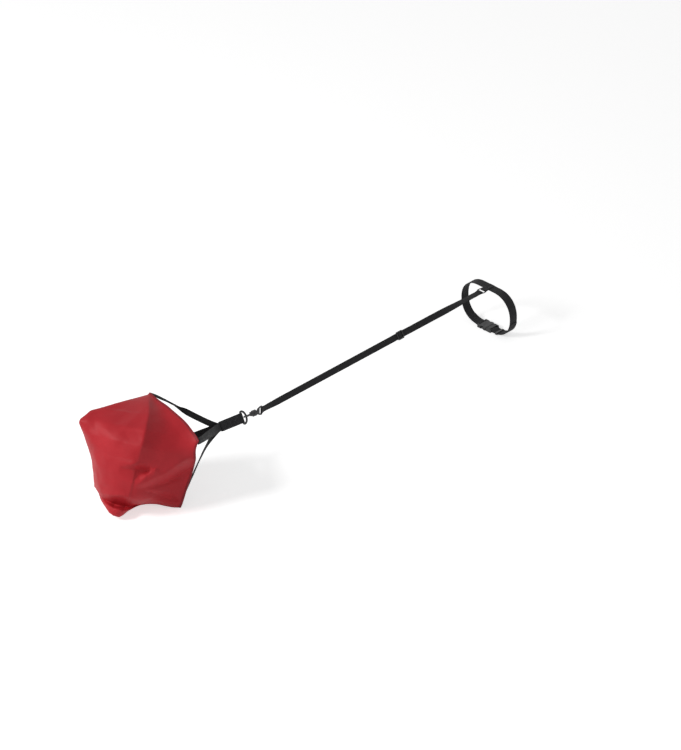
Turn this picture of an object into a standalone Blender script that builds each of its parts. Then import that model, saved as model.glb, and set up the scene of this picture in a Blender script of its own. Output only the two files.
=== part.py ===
"""Swim parachute: a square drag canopy on a webbing bridle, a swivelling snap hook,
a long tether and a waist belt with a side-release buckle. It stands on the floor z = 0
with the belt round the X axis above the origin and the canopy towed behind it, at -X.
"""

import math

import bmesh
import bpy
from mathutils import Matrix, Vector
from mathutils.bvhtree import BVHTree

# Fits
GAP = 0.0003
SLACK = 0.0005

# Webbing
BELT_WIDTH = 0.038
BELT_THICKNESS = 0.0016
TETHER_WIDTH = 0.025
TETHER_THICKNESS = 0.0015
COLLAR_WIDTH = 0.038
COLLAR_THICKNESS = 0.0016
LEG_WIDTH = 0.030
LEG_THICKNESS = 0.0014
SEWN_LAP = 0.055
TURN_RUN_OUT = 0.016

# Waist belt
AXIS_HEIGHT = 0.180
BELT_HALF_WIDTH = 0.125
BELT_FLAT = 0.040
BELT_ROUNDNESS = 2.2
BELT_TAIL = 0.130
KEEPER_AT = 0.027
KEEPER_LENGTH = 0.009
KEEPER_WALL = 0.0015
KEEPER_SLACK = 0.0009

# Side-release buckle
BUCKLE_HALF_WIDTH = 0.025
BUCKLE_THICKNESS = 0.013
BUCKLE_SEAM = -0.004
BUCKLE_BAR = 0.0022
BUCKLE_SLOT = 0.005
BUCKLE_CORNER = 0.004
SOCKET_BAR_AT = 0.0375
PLUG_BAR_AT = -0.0275
CAVITY_HALF_WIDTH = 0.021
CAVITY_HEIGHT = 0.0074
CAVITY_END = 0.0272
WINDOW_REAR = 0.0055
WINDOW_FRONT = 0.0225
PLUG_THICKNESS = 0.011
TONGUE_HALF_WIDTH = 0.0035
TONGUE_TIP = 0.0250
PRONG_ROOT = Vector((0.0155, -0.0165))
PRONG_KNUCKLE = 0.0026
PRONG_ARM = 0.0042
PRONG_TIP = 0.0262
PRONG_PROUD = 0.0003

# Belt ring and its tab
RING_WIRE = 0.0020
RING_LENGTH = 0.018
RING_CORNER = 0.004
TAB_REACH = 0.012

# Tether and slider
TETHER_LENGTH = 1.171
TETHER_HOOK_ROLL = math.radians(90)
TETHER_MID_ROLL = math.radians(58)
TETHER_BELT_ROLL = 0.0
TWIST_FROM_HOOK = (0.060, 0.200)
TWIST_FROM_BELT = (0.060, 0.300)
SLIDER_AT = 0.740
SLIDER_BAR = 0.0018
SLIDER_PITCH = 0.013
SLIDER_FLAT = 0.002
SLIDER_RIM = 0.0030
SLIDER_RUN_OUT = 0.030

# Swivel eye and snap hook
EYE_BAR = 0.0022
EYE_REACH = 0.036
EYE_LENGTH = 0.020
EYE_SLOT = 0.0078
EYE_RIM = 0.0060
EYE_NECK_HALF = 0.0120
BOSS_RADIUS = 0.0060
POST_RADIUS = 0.0028
HEAD_RADIUS = 0.0048
HEAD_LENGTH = 0.0020
HUB_RADIUS = 0.0120
HUB_REAR = 0.0085
HUB_WALL = 0.0050
HUB_FRONT = -0.0120
HOOK_REACH = 0.036
HOOK_WIRE = 0.0032
HOOK_HALF_WIDTH = 0.0098
HOOK_BASE_HALF = 0.0130
HOOK_BASE_THICKNESS = 0.0160
NOSE_END = -0.0270
GATE_PIVOT = Vector((-0.0090, -0.0095))
GATE_KNUCKLE = 0.0030
GATE_THICKNESS = 0.0060
GATE_LIP = 0.0040
GATE_LIP_THICKNESS = 0.0020
GATE_SWEEP_ROOM = 0.0058
PIN_RADIUS = 0.0011

# D-ring
DEE_WIRE = 0.0040
DEE_DEPTH = 0.020

# Bridle
DROGUE_YAW = math.radians(-8.0)
HITCH_ROLL = math.radians(-32)
COLLAR_LENGTH = 0.100
LEG_TAB = 0.065
LEG_SEAT = 0.035
SEAT_GAP = 0.0028
LEG_SLACK = 0.07
LOW_LEG_SLACK = 0.30
LEG_ENTRY = 0.05
BRIDLE_LENGTH = 0.3630

# Canopy
CANOPY_WALL = 0.0015
MOUTH_DIAGONAL = 0.439
MOUTH_ROLL = math.radians(32.9)
MOUTH_PITCH = math.radians(9.4)
MOUTH_YAW = math.radians(1.6)
MOUTH_BOW = (0.036, 0.020, 0.016, 0.016)
BACK_TOP = Vector((-0.318, 0.163, 0.147))
BACK_NEAR = Vector((-0.221, -0.105, 0.034))
BACK_LOW = Vector((-0.262, -0.050, -0.220))
BACK_FAR = Vector((-0.200, 0.140, -0.180))
SIDE_BILLOW = (0.000, 0.034, 0.064, 0.030)
BACK_BILLOW = 0.050
BACK_EDGE_PUSH = (-0.35, -0.35, -0.35, 0.50)
NEAR_TUCK = 0.010
LOW_TUCK = 0.044
SEAM_CREASE = (0.45, 0.0, 0.45, 0.45)
BACK_CREASE = (0.35, 0.3, 0.5, 0.5)
CANOPY_LEVELS = 4

# The canopy's main fold, a ridge from the mouth's top corner to the near back corner. It
# stands out towards the side that the photograph shows. Each point is across and up from
# the tether's eye on that side, then its height, its reach to the right and to the left.
FOLD_AZIMUTH = math.radians(-46)
FOLD_ELEVATION = math.radians(31.5)
RIDGE = ((-0.411, 0.063, 0.0, 0.011, 0.011), (-0.412, 0.033, 0.020, 0.037, 0.074),
         (-0.416, -0.015, 0.046, 0.089, 0.156), (-0.427, -0.074, 0.066, 0.148, 0.215),
         (-0.440, -0.133, 0.056, 0.185, 0.215), (-0.454, -0.189, 0.024, 0.185, 0.185))
RIDGE_HOLLOW_RIGHT = 2.2
RIDGE_HOLLOW_LEFT = 1.2
FACING = (0.02, 0.25)

COLLECTION = "swim_parachute"
CUTTERS = "cutters"


def clear_scene():
    for obj in list(bpy.data.objects):
        bpy.data.objects.remove(obj, do_unlink=True)


def collection(name):
    made = bpy.data.collections.new(name)
    bpy.context.scene.collection.children.link(made)
    return made


def material(name, colour, roughness, metallic=0.0):
    made = bpy.data.materials.new(name)
    made.use_nodes = True
    shader = made.node_tree.nodes["Principled BSDF"]
    shader.inputs["Base Color"].default_value = (*colour, 1.0)
    shader.inputs["Roughness"].default_value = roughness
    shader.inputs["Metallic"].default_value = metallic
    return made


def smoothstep(low, high, value):
    """0 below low, 1 above high and smooth between them."""
    share = min(max((value - low) / (high - low), 0.0), 1.0)
    return share * share * (3.0 - 2.0 * share)


def spread(first, last, count):
    """count + 1 numbers from first to last, evenly spaced."""
    return [first + (last - first) * k / count for k in range(count + 1)]


def empty(name, place, parent=None, turn=(0.0, 0.0, 0.0)):
    made = bpy.data.objects.new(name, None)
    made.location = place
    made.rotation_euler = turn
    made.parent = parent
    made.empty_display_size = 0.02
    PARTS.objects.link(made)
    return made


def add(name, mesh, surface, parent, place=(0.0, 0.0, 0.0), turn=(0.0, 0.0, 0.0)):
    """A named piece of the part, on the empty that marks its joint."""
    made = bpy.data.objects.new(name, mesh)
    made.parent = parent
    made.location = place
    made.rotation_euler = turn
    mesh.materials.clear()
    mesh.materials.append(surface)
    PARTS.objects.link(made)
    return made


def smooth(obj, angle=math.radians(40)):
    obj.data.shade_smooth()
    obj.data.set_sharp_from_angle(angle=angle)
    return obj


def bevel(obj, width, segments=2):
    """Round the sharp edges of a piece."""
    rounding = obj.modifiers.new("rounded_edges", "BEVEL")
    rounding.width = width
    rounding.segments = segments
    rounding.limit_method = "ANGLE"
    rounding.angle_limit = math.radians(35)
    return obj


def boolean(obj, other, operation):
    step = obj.modifiers.new(other.name, "BOOLEAN")
    step.operation = operation
    step.object = other
    step.solver = "EXACT"
    return obj


def cutter(name, mesh, parent, place=(0.0, 0.0, 0.0), turn=(0.0, 0.0, 0.0)):
    """A solid that cuts or joins a piece and isn't part of the object."""
    made = bpy.data.objects.new(name, mesh)
    made.parent = parent
    made.location = place
    made.rotation_euler = turn
    made.hide_render = True
    made.display_type = "WIRE"
    CUTTER_PARTS.objects.link(made)
    return made


def evaluated_mesh(obj):
    """The mesh of an object with its modifiers, in the object's own frame."""
    bpy.context.view_layer.update()
    graph = bpy.context.evaluated_depsgraph_get()
    return bpy.data.meshes.new_from_object(obj.evaluated_get(graph), depsgraph=graph)


def mesh_of_curve(curve):
    """A curve turned into a mesh with its caps welded."""
    holder = bpy.data.objects.new("curve_to_convert", curve)
    PARTS.objects.link(holder)
    mesh = evaluated_mesh(holder)
    bpy.data.objects.remove(holder)
    bpy.data.curves.remove(curve)
    shape = bmesh.new()
    shape.from_mesh(mesh)
    bmesh.ops.remove_doubles(shape, verts=shape.verts, dist=0.00001)
    bmesh.ops.recalc_face_normals(shape, faces=shape.faces)
    shape.to_mesh(mesh)
    shape.free()
    return mesh


def plate_mesh(name, outlines, half_thickness):
    """A flat plate, from one outline and any holes in it, centred on z = 0."""
    curve = bpy.data.curves.new(name, "CURVE")
    curve.dimensions = "2D"
    curve.fill_mode = "BOTH"
    curve.extrude = half_thickness
    for outline in outlines:
        spline = curve.splines.new("POLY")
        spline.points.add(len(outline) - 1)
        for point, (x, y) in zip(spline.points, outline):
            point.co = (x, y, 0.0, 1.0)
        spline.use_cyclic_u = True
    return mesh_of_curve(curve)


def wire_mesh(name, points, radius, closed=False):
    """A round bar along a line of points."""
    curve = bpy.data.curves.new(name, "CURVE")
    curve.dimensions = "3D"
    curve.bevel_depth = radius
    curve.bevel_resolution = 3
    curve.use_fill_caps = True
    spline = curve.splines.new("POLY")
    spline.points.add(len(points) - 1)
    for point, place in zip(spline.points, points):
        point.co = (*place, 1.0)
    spline.use_cyclic_u = closed
    return mesh_of_curve(curve)


def box_mesh(name, low, high):
    """A box between two corners."""
    low = Vector(low)
    high = Vector(high)
    mesh = bpy.data.meshes.new(name)
    shape = bmesh.new()
    bmesh.ops.create_cube(shape, size=1.0)
    bmesh.ops.scale(shape, vec=high - low, verts=shape.verts)
    bmesh.ops.translate(shape, vec=(high + low) / 2, verts=shape.verts)
    shape.to_mesh(mesh)
    shape.free()
    return mesh


def rod_mesh(name, radius, start, end, axis="X", sides=28):
    """A cylinder along one axis, from start to end."""
    mesh = bpy.data.meshes.new(name)
    shape = bmesh.new()
    bmesh.ops.create_cone(
        shape, cap_ends=True, segments=sides, radius1=radius, radius2=radius,
        depth=end - start, matrix=Matrix.Translation((0.0, 0.0, (start + end) / 2)))
    if axis == "X":
        bmesh.ops.rotate(shape, matrix=Matrix.Rotation(math.radians(90), 3, "Y"),
                         verts=shape.verts)
    shape.to_mesh(mesh)
    shape.free()
    return mesh


def arc(centre, radius, start, end, steps):
    """Points on an arc, the angles in degrees."""
    return [(centre[0] + radius * math.cos(math.radians(a)),
             centre[1] + radius * math.sin(math.radians(a)))
            for a in spread(start, end, steps)]


def rounded_rectangle(half_x, half_y, corner, centre=(0.0, 0.0), steps=4):
    """The outline of a rectangle with round corners."""
    outline = []
    for quarter, (sx, sy) in enumerate(((1, 1), (-1, 1), (-1, -1), (1, -1))):
        middle = (centre[0] + sx * (half_x - corner), centre[1] + sy * (half_y - corner))
        outline += arc(middle, corner, quarter * 90, quarter * 90 + 90, steps)
    return outline


def strap(name, path, width, thickness, carry, surface, parent, origin):
    """Webbing along a path in its own plane. carry takes a point of the path and a
    distance across the webbing to the world, and origin is the piece's own place there."""
    shape = bmesh.new()
    rows = []
    for along, off in path:
        row = [shape.verts.new(carry(along, off, side * width / 2) - origin)
               for side in (-1, 1)]
        rows.append(row)
    for first, second in zip(rows, rows[1:]):
        shape.faces.new((first[0], second[0], second[1], first[1]))
    mesh = bpy.data.meshes.new(name)
    shape.to_mesh(mesh)
    shape.free()
    made = add(name, mesh, surface, parent)
    return thicken(made, thickness)


def thicken(obj, thickness, offset=0.0):
    wall = obj.modifiers.new("wall", "SOLIDIFY")
    wall.thickness = thickness
    wall.offset = offset
    wall.use_even_offset = True
    obj.data.shade_smooth()
    return obj


# Waist belt

def belt_line():
    """The belt's middle line in Y and Z, from the bottom centre round by +Y to the
    bottom centre again, as points with the outward direction and the distance run."""
    middle = AXIS_HEIGHT / 2 + BUCKLE_THICKNESS / 4
    half_height = AXIS_HEIGHT - middle
    half_width = BELT_HALF_WIDTH - BELT_FLAT
    line = [Vector((0.0, middle - half_height))]
    power = 2.0 / BELT_ROUNDNESS
    for side, angles in ((1, spread(-90, 90, 44)), (-1, spread(90, 270, 44))):
        for angle in angles:
            across = math.cos(math.radians(angle))
            up = math.sin(math.radians(angle))
            y = side * BELT_FLAT + math.copysign(abs(across) ** power, across) * half_width
            z = middle + math.copysign(abs(up) ** power, up) * half_height
            line.append(Vector((y, z)))
    line.append(line[0])
    return line


def along_line(line, distance):
    """The point at a distance along a line and the outward direction there."""
    for first, second in zip(line, line[1:]):
        step = (second - first).length
        if distance <= step or second is line[-1]:
            direction = (second - first).normalized()
            place = first + direction * distance
            return place, Vector((direction.y, -direction.x))
        distance -= step
    return line[-1], Vector((0.0, -1.0))


def line_length(line):
    return sum((b - a).length for a, b in zip(line, line[1:]))


BELT_TURN = BUCKLE_BAR + GAP + BELT_THICKNESS / 2
BELT_LAYER = BELT_THICKNESS + GAP
BUCKLE_MIDDLE = BUCKLE_THICKNESS / 2


def belt_point(line, distance, off):
    place, outward = along_line(line, distance)
    point = place + outward * off
    return (point.x, point.y)


def belt_path(line):
    """The belt's one length of webbing: a sewn end inside the belt, the turn round
    the socket's bar, the way round the waist, the turn round the plug's bar and the
    free tail outside the belt."""
    total = line_length(line)
    path = []
    for run in spread(SEWN_LAP, 0.0, 14):
        off = BELT_TURN + (BELT_LAYER - BELT_TURN) * smoothstep(0.0, TURN_RUN_OUT, run)
        path.append(belt_point(line, SOCKET_BAR_AT + run, -off))
    path += arc((SOCKET_BAR_AT, BUCKLE_MIDDLE), BELT_TURN, 105, 255, 8)
    start = SOCKET_BAR_AT
    end = total + PLUG_BAR_AT
    for distance in spread(start, end, 110):
        off = BELT_TURN * (1.0 - smoothstep(start, start + TURN_RUN_OUT, distance))
        off -= BELT_TURN * smoothstep(end - TURN_RUN_OUT, end, distance)
        path.append(belt_point(line, distance, off))
    path += arc((PLUG_BAR_AT, BUCKLE_MIDDLE), BELT_TURN, 75, -75, 8)
    for run in spread(0.0, BELT_TAIL, 26):
        off = BELT_TURN + (BELT_LAYER - BELT_TURN) * smoothstep(0.0, TURN_RUN_OUT, run)
        path.append(belt_point(line, end - run, off))
    return path


def make_belt(frame):
    line = belt_line()
    strap("belt_strap", belt_path(line), BELT_WIDTH, BELT_THICKNESS,
          lambda y, z, across: Vector((across, y, z)), WEBBING, frame, Vector())
    total = line_length(line)
    at = total + PLUG_BAR_AT - KEEPER_AT
    place, outward = along_line(line, at)
    place = place + outward * BELT_LAYER / 2
    slope = math.atan2(outward.x, -outward.y)
    inner_x = BELT_WIDTH / 2 + SLACK
    inner_y = BELT_LAYER / 2 + BELT_THICKNESS / 2 + KEEPER_SLACK
    outer = rounded_rectangle(inner_x + KEEPER_WALL, inner_y + KEEPER_WALL, KEEPER_WALL * 1.2)
    inner = rounded_rectangle(inner_x, inner_y, KEEPER_WALL * 0.7)
    slide = empty("keeper_slide", (0.0, place.x, place.y), frame, (slope, 0.0, 0.0))
    mesh = plate_mesh("tail_keeper", (outer, inner), KEEPER_LENGTH / 2)
    keeper = add("tail_keeper", mesh, PLASTIC, slide, turn=(math.radians(90), 0.0, 0.0))
    smooth(keeper)


# Side-release buckle

def webbing_bar(piece, word, bar_at, side, frame, middle):
    """Open a notch in the end of a buckle half and close it with a round bar."""
    half = BELT_WIDTH / 2 + SLACK
    ends = (bar_at - side * (BUCKLE_BAR + BUCKLE_SLOT), bar_at + side * BUCKLE_BAR * 3)
    notch = box_mesh(word + "_notch", (-half, min(ends), -BUCKLE_THICKNESS),
                     (half, max(ends), BUCKLE_THICKNESS))
    boolean(piece, cutter(word + "_notch", notch, frame, middle), "DIFFERENCE")
    bar = rod_mesh(word + "_bar", BUCKLE_BAR, -half - BUCKLE_BAR, half + BUCKLE_BAR)
    place = middle + Vector((0.0, bar_at, 0.0))
    boolean(piece, cutter(word + "_bar", bar, frame, place), "UNION")


def make_socket(frame):
    middle = Vector((0.0, 0.0, BUCKLE_MIDDLE))
    end = SOCKET_BAR_AT + BUCKLE_BAR
    half_length = (end - BUCKLE_SEAM) / 2
    centre = (0.0, (end + BUCKLE_SEAM) / 2)
    outer = rounded_rectangle(BUCKLE_HALF_WIDTH, half_length, BUCKLE_CORNER, centre)
    mesh = plate_mesh("buckle_socket", (outer,), BUCKLE_THICKNESS / 2)
    socket = add("buckle_socket", mesh, PLASTIC, frame, middle)
    bevel(socket, 0.0016, 3)
    webbing_bar(socket, "socket", SOCKET_BAR_AT, 1, frame, middle)
    cavity = box_mesh("socket_cavity",
                      (-CAVITY_HALF_WIDTH, BUCKLE_SEAM - BUCKLE_SLOT, -CAVITY_HEIGHT / 2),
                      (CAVITY_HALF_WIDTH, CAVITY_END, CAVITY_HEIGHT / 2))
    boolean(socket, cutter("socket_cavity", cavity, frame, middle), "DIFFERENCE")
    windows = box_mesh("socket_windows",
                       (-2 * BUCKLE_HALF_WIDTH, WINDOW_REAR, -CAVITY_HEIGHT / 2 + GAP / 3),
                       (2 * BUCKLE_HALF_WIDTH, WINDOW_FRONT, CAVITY_HEIGHT / 2 - GAP / 3))
    boolean(socket, cutter("socket_windows", windows, frame, middle), "DIFFERENCE")
    relief_half = (WINDOW_FRONT - WINDOW_REAR) / 2
    relief_middle = (WINDOW_FRONT + WINDOW_REAR) / 2
    for side in (-1, 1):
        name = "thumb_relief_a" if side < 0 else "thumb_relief_b"
        scoop = rod_mesh(name, relief_half, -BUCKLE_THICKNESS, BUCKLE_THICKNESS, "Z", 32)
        at = Vector((side * (BUCKLE_HALF_WIDTH + relief_half * 0.62), relief_middle, 0.0))
        boolean(socket, cutter(name, scoop, frame, middle + at), "DIFFERENCE")
    smooth(socket)


def make_plug(frame):
    middle = Vector((0.0, 0.0, BUCKLE_MIDDLE))
    back = PLUG_BAR_AT - BUCKLE_BAR
    front = BUCKLE_SEAM - GAP
    centre = (0.0, (front + back) / 2)
    outer = rounded_rectangle(BUCKLE_HALF_WIDTH, (front - back) / 2, BUCKLE_CORNER, centre)
    mesh = plate_mesh("buckle_plug", (outer,), PLUG_THICKNESS / 2)
    plug = add("buckle_plug", mesh, PLASTIC, frame, middle)
    bevel(plug, 0.0014, 2)
    webbing_bar(plug, "plug", PLUG_BAR_AT, -1, frame, middle)
    half_height = CAVITY_HEIGHT / 2 - GAP
    tongue = plate_mesh("plug_tongue", (tongue_outline(front),), half_height)
    boolean(plug, cutter("plug_tongue", tongue, frame, middle), "UNION")
    for side in (-1, 1):
        name = "prong_channel_a" if side < 0 else "prong_channel_b"
        knuckle = arc((side * PRONG_ROOT.x, PRONG_ROOT.y), PRONG_KNUCKLE + GAP, 180, 360, 14)
        inner = PRONG_ROOT.x - PRONG_KNUCKLE - PRONG_ARM / 2
        outer_x = PRONG_ROOT.x + PRONG_KNUCKLE + GAP
        mouth = front + BUCKLE_SLOT
        if side > 0:
            outline = knuckle + [(outer_x, mouth), (inner, mouth), (inner, PRONG_ROOT.y + PRONG_ARM)]
        else:
            outline = knuckle + [(-inner, PRONG_ROOT.y + PRONG_ARM), (-inner, mouth), (-outer_x, mouth)]
        channel = plate_mesh(name, (outline,), CAVITY_HEIGHT / 2)
        boolean(plug, cutter(name, channel, frame, middle), "DIFFERENCE")
    smooth(plug)


def tongue_outline(front):
    """The plug's middle tongue, rooted in its base and round at the tip."""
    root = front - BUCKLE_SLOT
    tip = arc((0.0, TONGUE_TIP - TONGUE_HALF_WIDTH), TONGUE_HALF_WIDTH, 0, 180, 8)
    return [(-TONGUE_HALF_WIDTH, root), (TONGUE_HALF_WIDTH, root)] + tip


def prong_outline(side):
    """One prong, from the knuckle that it bends about to its tip, with the barb that
    catches the rear edge of the socket's window."""
    inner = PRONG_ROOT.x + PRONG_KNUCKLE - PRONG_ARM - GAP
    outer = inner + PRONG_ARM
    barb = BUCKLE_HALF_WIDTH + PRONG_PROUD
    catch = WINDOW_REAR + GAP
    knuckle = arc(PRONG_ROOT, PRONG_KNUCKLE, 150, 375, 14)
    flank = [(outer, catch), (barb, catch + GAP), (barb, catch + PRONG_ARM * 1.6),
             (barb - PRONG_ARM / 3, catch + PRONG_ARM * 2.6),
             (outer + PRONG_ARM / 3, PRONG_TIP - PRONG_ARM / 3)]
    tip = [(outer - PRONG_ARM / 6, PRONG_TIP), (inner + PRONG_ARM / 3, PRONG_TIP)]
    outline = knuckle + flank + tip + [(inner, PRONG_TIP - PRONG_ARM / 2)]
    placed = [(x - PRONG_ROOT.x, y - PRONG_ROOT.y) for x, y in outline]
    if side > 0:
        return placed
    return [(-x, y) for x, y in reversed(placed)]


def make_prongs(frame):
    half_height = CAVITY_HEIGHT / 2 - GAP
    for side, name in ((1, "prong_right"), (-1, "prong_left")):
        place = Vector((side * PRONG_ROOT.x, PRONG_ROOT.y, BUCKLE_MIDDLE))
        pivot = empty(name + "_root", place, frame)
        mesh = plate_mesh(name, (prong_outline(side),), half_height)
        smooth(bevel(add(name, mesh, PLASTIC, pivot), 0.0005))


# Belt ring and tab

RING_BAR_X = -(BELT_WIDTH / 2 + TAB_REACH)
RING_FAR_X = RING_BAR_X - RING_LENGTH


def make_ring_tab(frame):
    """The tab folds round the ring's bar and is sewn to both faces of the belt."""
    near = BELT_THICKNESS / 2 + GAP + TETHER_THICKNESS / 2
    turn = RING_WIRE + GAP + TETHER_THICKNESS / 2
    end = BELT_WIDTH / 2 - BELT_THICKNESS
    path = tab_side(end, near, turn)
    path += arc((RING_BAR_X, 0.0), turn, 105, 255, 8)
    path += [(x, -off) for x, off in reversed(tab_side(end, near, turn))]
    strap("ring_tab", path, TETHER_WIDTH, TETHER_THICKNESS,
          lambda x, off, across: Vector((x, across, AXIS_HEIGHT + off)),
          WEBBING, frame, Vector())


def tab_side(end, near, turn):
    """One layer of the tab: flat on the belt, then drawn to the ring's bar."""
    side = []
    for x in spread(end, RING_BAR_X, 12):
        rise = smoothstep(BELT_WIDTH / 2, -RING_BAR_X, -x)
        side.append((x, near + (turn - near) * rise))
    return side


def make_belt_ring(frame):
    """A rectangular wire ring whose two long bars lie along Y."""
    half_width = TETHER_WIDTH / 2 + RING_WIRE + 2 * SLACK
    outline = rounded_rectangle(RING_LENGTH / 2, half_width, RING_CORNER,
                                (-RING_LENGTH / 2, 0.0))
    points = [(x, y, 0.0) for x, y in outline]
    mesh = wire_mesh("belt_ring", points, RING_WIRE, closed=True)
    smooth(add("belt_ring", mesh, PLASTIC, frame))


# Tether and slider

EYE_X = RING_FAR_X - TETHER_LENGTH
TETHER_LAYER = TETHER_THICKNESS + GAP
EYE_TURN = EYE_BAR + GAP + TETHER_THICKNESS / 2
RING_TURN = RING_WIRE + GAP + TETHER_THICKNESS / 2
SLIDER_TURN = SLIDER_BAR + GAP + TETHER_THICKNESS / 2
WEAVE_TOP = SLIDER_TURN + TETHER_LAYER + GAP
WEAVE_LOW = SLIDER_TURN + GAP
WEAVE_END = SLIDER_PITCH - SLIDER_BAR * 1.3


def tether_roll(along):
    """The webbing's roll about X at a distance from the hook: on edge at the hook,
    half turned along its length and flat at the belt."""
    roll = TETHER_HOOK_ROLL
    roll += (TETHER_MID_ROLL - TETHER_HOOK_ROLL) * smoothstep(*TWIST_FROM_HOOK, along)
    left = TETHER_LENGTH - along
    roll += (TETHER_BELT_ROLL - TETHER_MID_ROLL) * (1.0 - smoothstep(*TWIST_FROM_BELT, left))
    return roll


def tether_carry(along, off, across):
    roll = tether_roll(along)
    y = across * math.cos(roll) - off * math.sin(roll)
    z = across * math.sin(roll) + off * math.cos(roll)
    return Vector((EYE_X + along, y, AXIS_HEIGHT + z))


def main_offset(along):
    """How far the tether's long run stands off its middle line."""
    off = EYE_TURN * (1.0 - smoothstep(0.0, TURN_RUN_OUT, along))
    off += RING_TURN * smoothstep(TETHER_LENGTH - TURN_RUN_OUT, TETHER_LENGTH, along)
    reach = abs(along - SLIDER_AT)
    if reach <= SLIDER_PITCH:
        fall = smoothstep(SLIDER_FLAT, WEAVE_END, reach)
        return WEAVE_TOP - (WEAVE_TOP + WEAVE_LOW) * fall
    return off - WEAVE_LOW * (1.0 - smoothstep(SLIDER_PITCH, SLIDER_PITCH + SLIDER_RUN_OUT, reach))


def return_offset(along):
    """The lap that comes back from the belt ring lies a layer below the long run."""
    small = SLIDER_BAR / 10
    slope = (main_offset(along + small) - main_offset(along - small)) / (2 * small)
    near_ring = smoothstep(TETHER_LENGTH - TURN_RUN_OUT, TETHER_LENGTH, along)
    free = main_offset(along) - TETHER_LAYER * math.hypot(1.0, slope)
    return free * (1.0 - near_ring) - RING_TURN * near_ring


def tail_offset(along):
    """The sewn end at the slider lies a layer below the lap."""
    under = WEAVE_LOW + 2 * TETHER_LAYER
    share = smoothstep(0.0, SLIDER_PITCH * 0.7, along - SLIDER_AT)
    past = smoothstep(SLIDER_PITCH, SLIDER_PITCH + SLIDER_RUN_OUT, along - SLIDER_AT)
    return -SLIDER_TURN - (under - SLIDER_TURN) * share + WEAVE_LOW * past


def tether_path():
    """The whole length of webbing, from the end sewn at the hook to the end sewn at
    the slider."""
    path = []
    for along in spread(SEWN_LAP, 0.0, 12):
        near = 1.0 - smoothstep(0.0, TURN_RUN_OUT, along)
        path.append((along, -EYE_TURN * near - TETHER_LAYER * (1.0 - near)))
    path += arc((0.0, 0.0), EYE_TURN, 255, 105, 8)
    stations = spread(0.0, TURN_RUN_OUT * 1.2, 8)
    stations += spread(0.04, SLIDER_AT - SLIDER_PITCH - SLIDER_RUN_OUT, 22)
    stations += spread(SLIDER_AT - SLIDER_PITCH - SLIDER_RUN_OUT * 0.7, SLIDER_AT - SLIDER_PITCH, 5)
    stations += spread(SLIDER_AT - SLIDER_PITCH, SLIDER_AT + SLIDER_PITCH, 24)[1:]
    beyond = spread(SLIDER_AT + SLIDER_PITCH, SLIDER_AT + SLIDER_PITCH + SLIDER_RUN_OUT, 6)[1:]
    beyond += spread(SLIDER_AT + 0.07, TETHER_LENGTH - 0.03, 14)
    beyond += spread(TETHER_LENGTH - TURN_RUN_OUT * 1.2, TETHER_LENGTH, 8)
    path += [(along, main_offset(along)) for along in stations + beyond]
    path += arc((TETHER_LENGTH, 0.0), RING_TURN, 75, -75, 8)
    back = list(reversed(beyond)) + list(reversed(spread(SLIDER_AT + GAP, SLIDER_AT + SLIDER_PITCH, 12)))
    path += [(along, return_offset(along)) for along in back]
    path += arc((SLIDER_AT, 0.0), SLIDER_TURN, 105, 255, 8)
    path += [(along, tail_offset(along)) for along in spread(SLIDER_AT, SLIDER_AT + SLIDER_PITCH, 6)]
    path += [(along, tail_offset(along))
             for along in spread(SLIDER_AT + SLIDER_PITCH, SLIDER_AT + SEWN_LAP, 6)[1:]]
    return path


def make_tether(frame):
    origin = Vector((RING_FAR_X, 0.0, AXIS_HEIGHT))
    strap("tether_strap", tether_path(), TETHER_WIDTH, TETHER_THICKNESS,
          tether_carry, WEBBING, frame, origin)
    half_length = SLIDER_PITCH + SLIDER_BAR
    half_width = TETHER_WIDTH / 2 + SLACK + SLIDER_RIM
    outer = rounded_rectangle(half_length, half_width, SLIDER_RIM * 0.75)
    half = TETHER_WIDTH / 2 + SLACK
    reach = SLIDER_PITCH - SLIDER_BAR
    opening = [(reach, half), (-reach, half), (-reach, -half), (reach, -half)]
    mesh = plate_mesh("tether_slider", (outer, opening), SLIDER_BAR + GAP / 2)
    place = Vector((EYE_X + SLIDER_AT, 0.0, AXIS_HEIGHT)) - origin
    turn = (tether_roll(SLIDER_AT), 0.0, 0.0)
    slider = add("tether_slider", mesh, PLASTIC, frame, place, turn)
    bevel(slider, SLIDER_BAR / 3)
    reach = half + SLIDER_RIM / 2
    bar = rod_mesh("slider_bar", SLIDER_BAR, -reach, reach, "Z", 20)
    upright = (turn[0] - math.radians(90), 0.0, 0.0)
    boolean(slider, cutter("slider_bar", bar, frame, place, upright), "UNION")
    smooth(slider)


# Swivel eye and snap hook

def turned_mesh(name, profile, sides=28):
    """A solid turned about X from a profile of (x, radius) that starts and ends on
    the axis."""
    mesh = bpy.data.meshes.new(name)
    shape = bmesh.new()
    line = [shape.verts.new((x, radius, 0.0)) for x, radius in profile]
    for first, second in zip(line, line[1:]):
        shape.edges.new((first, second))
    bmesh.ops.spin(shape, geom=list(shape.verts) + list(shape.edges), axis=(1.0, 0.0, 0.0),
                   cent=(0.0, 0.0, 0.0), angle=math.radians(360), steps=sides, use_merge=True)
    bmesh.ops.remove_doubles(shape, verts=shape.verts, dist=0.00001)
    bmesh.ops.recalc_face_normals(shape, faces=shape.faces)
    shape.to_mesh(mesh)
    shape.free()
    return mesh


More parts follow.
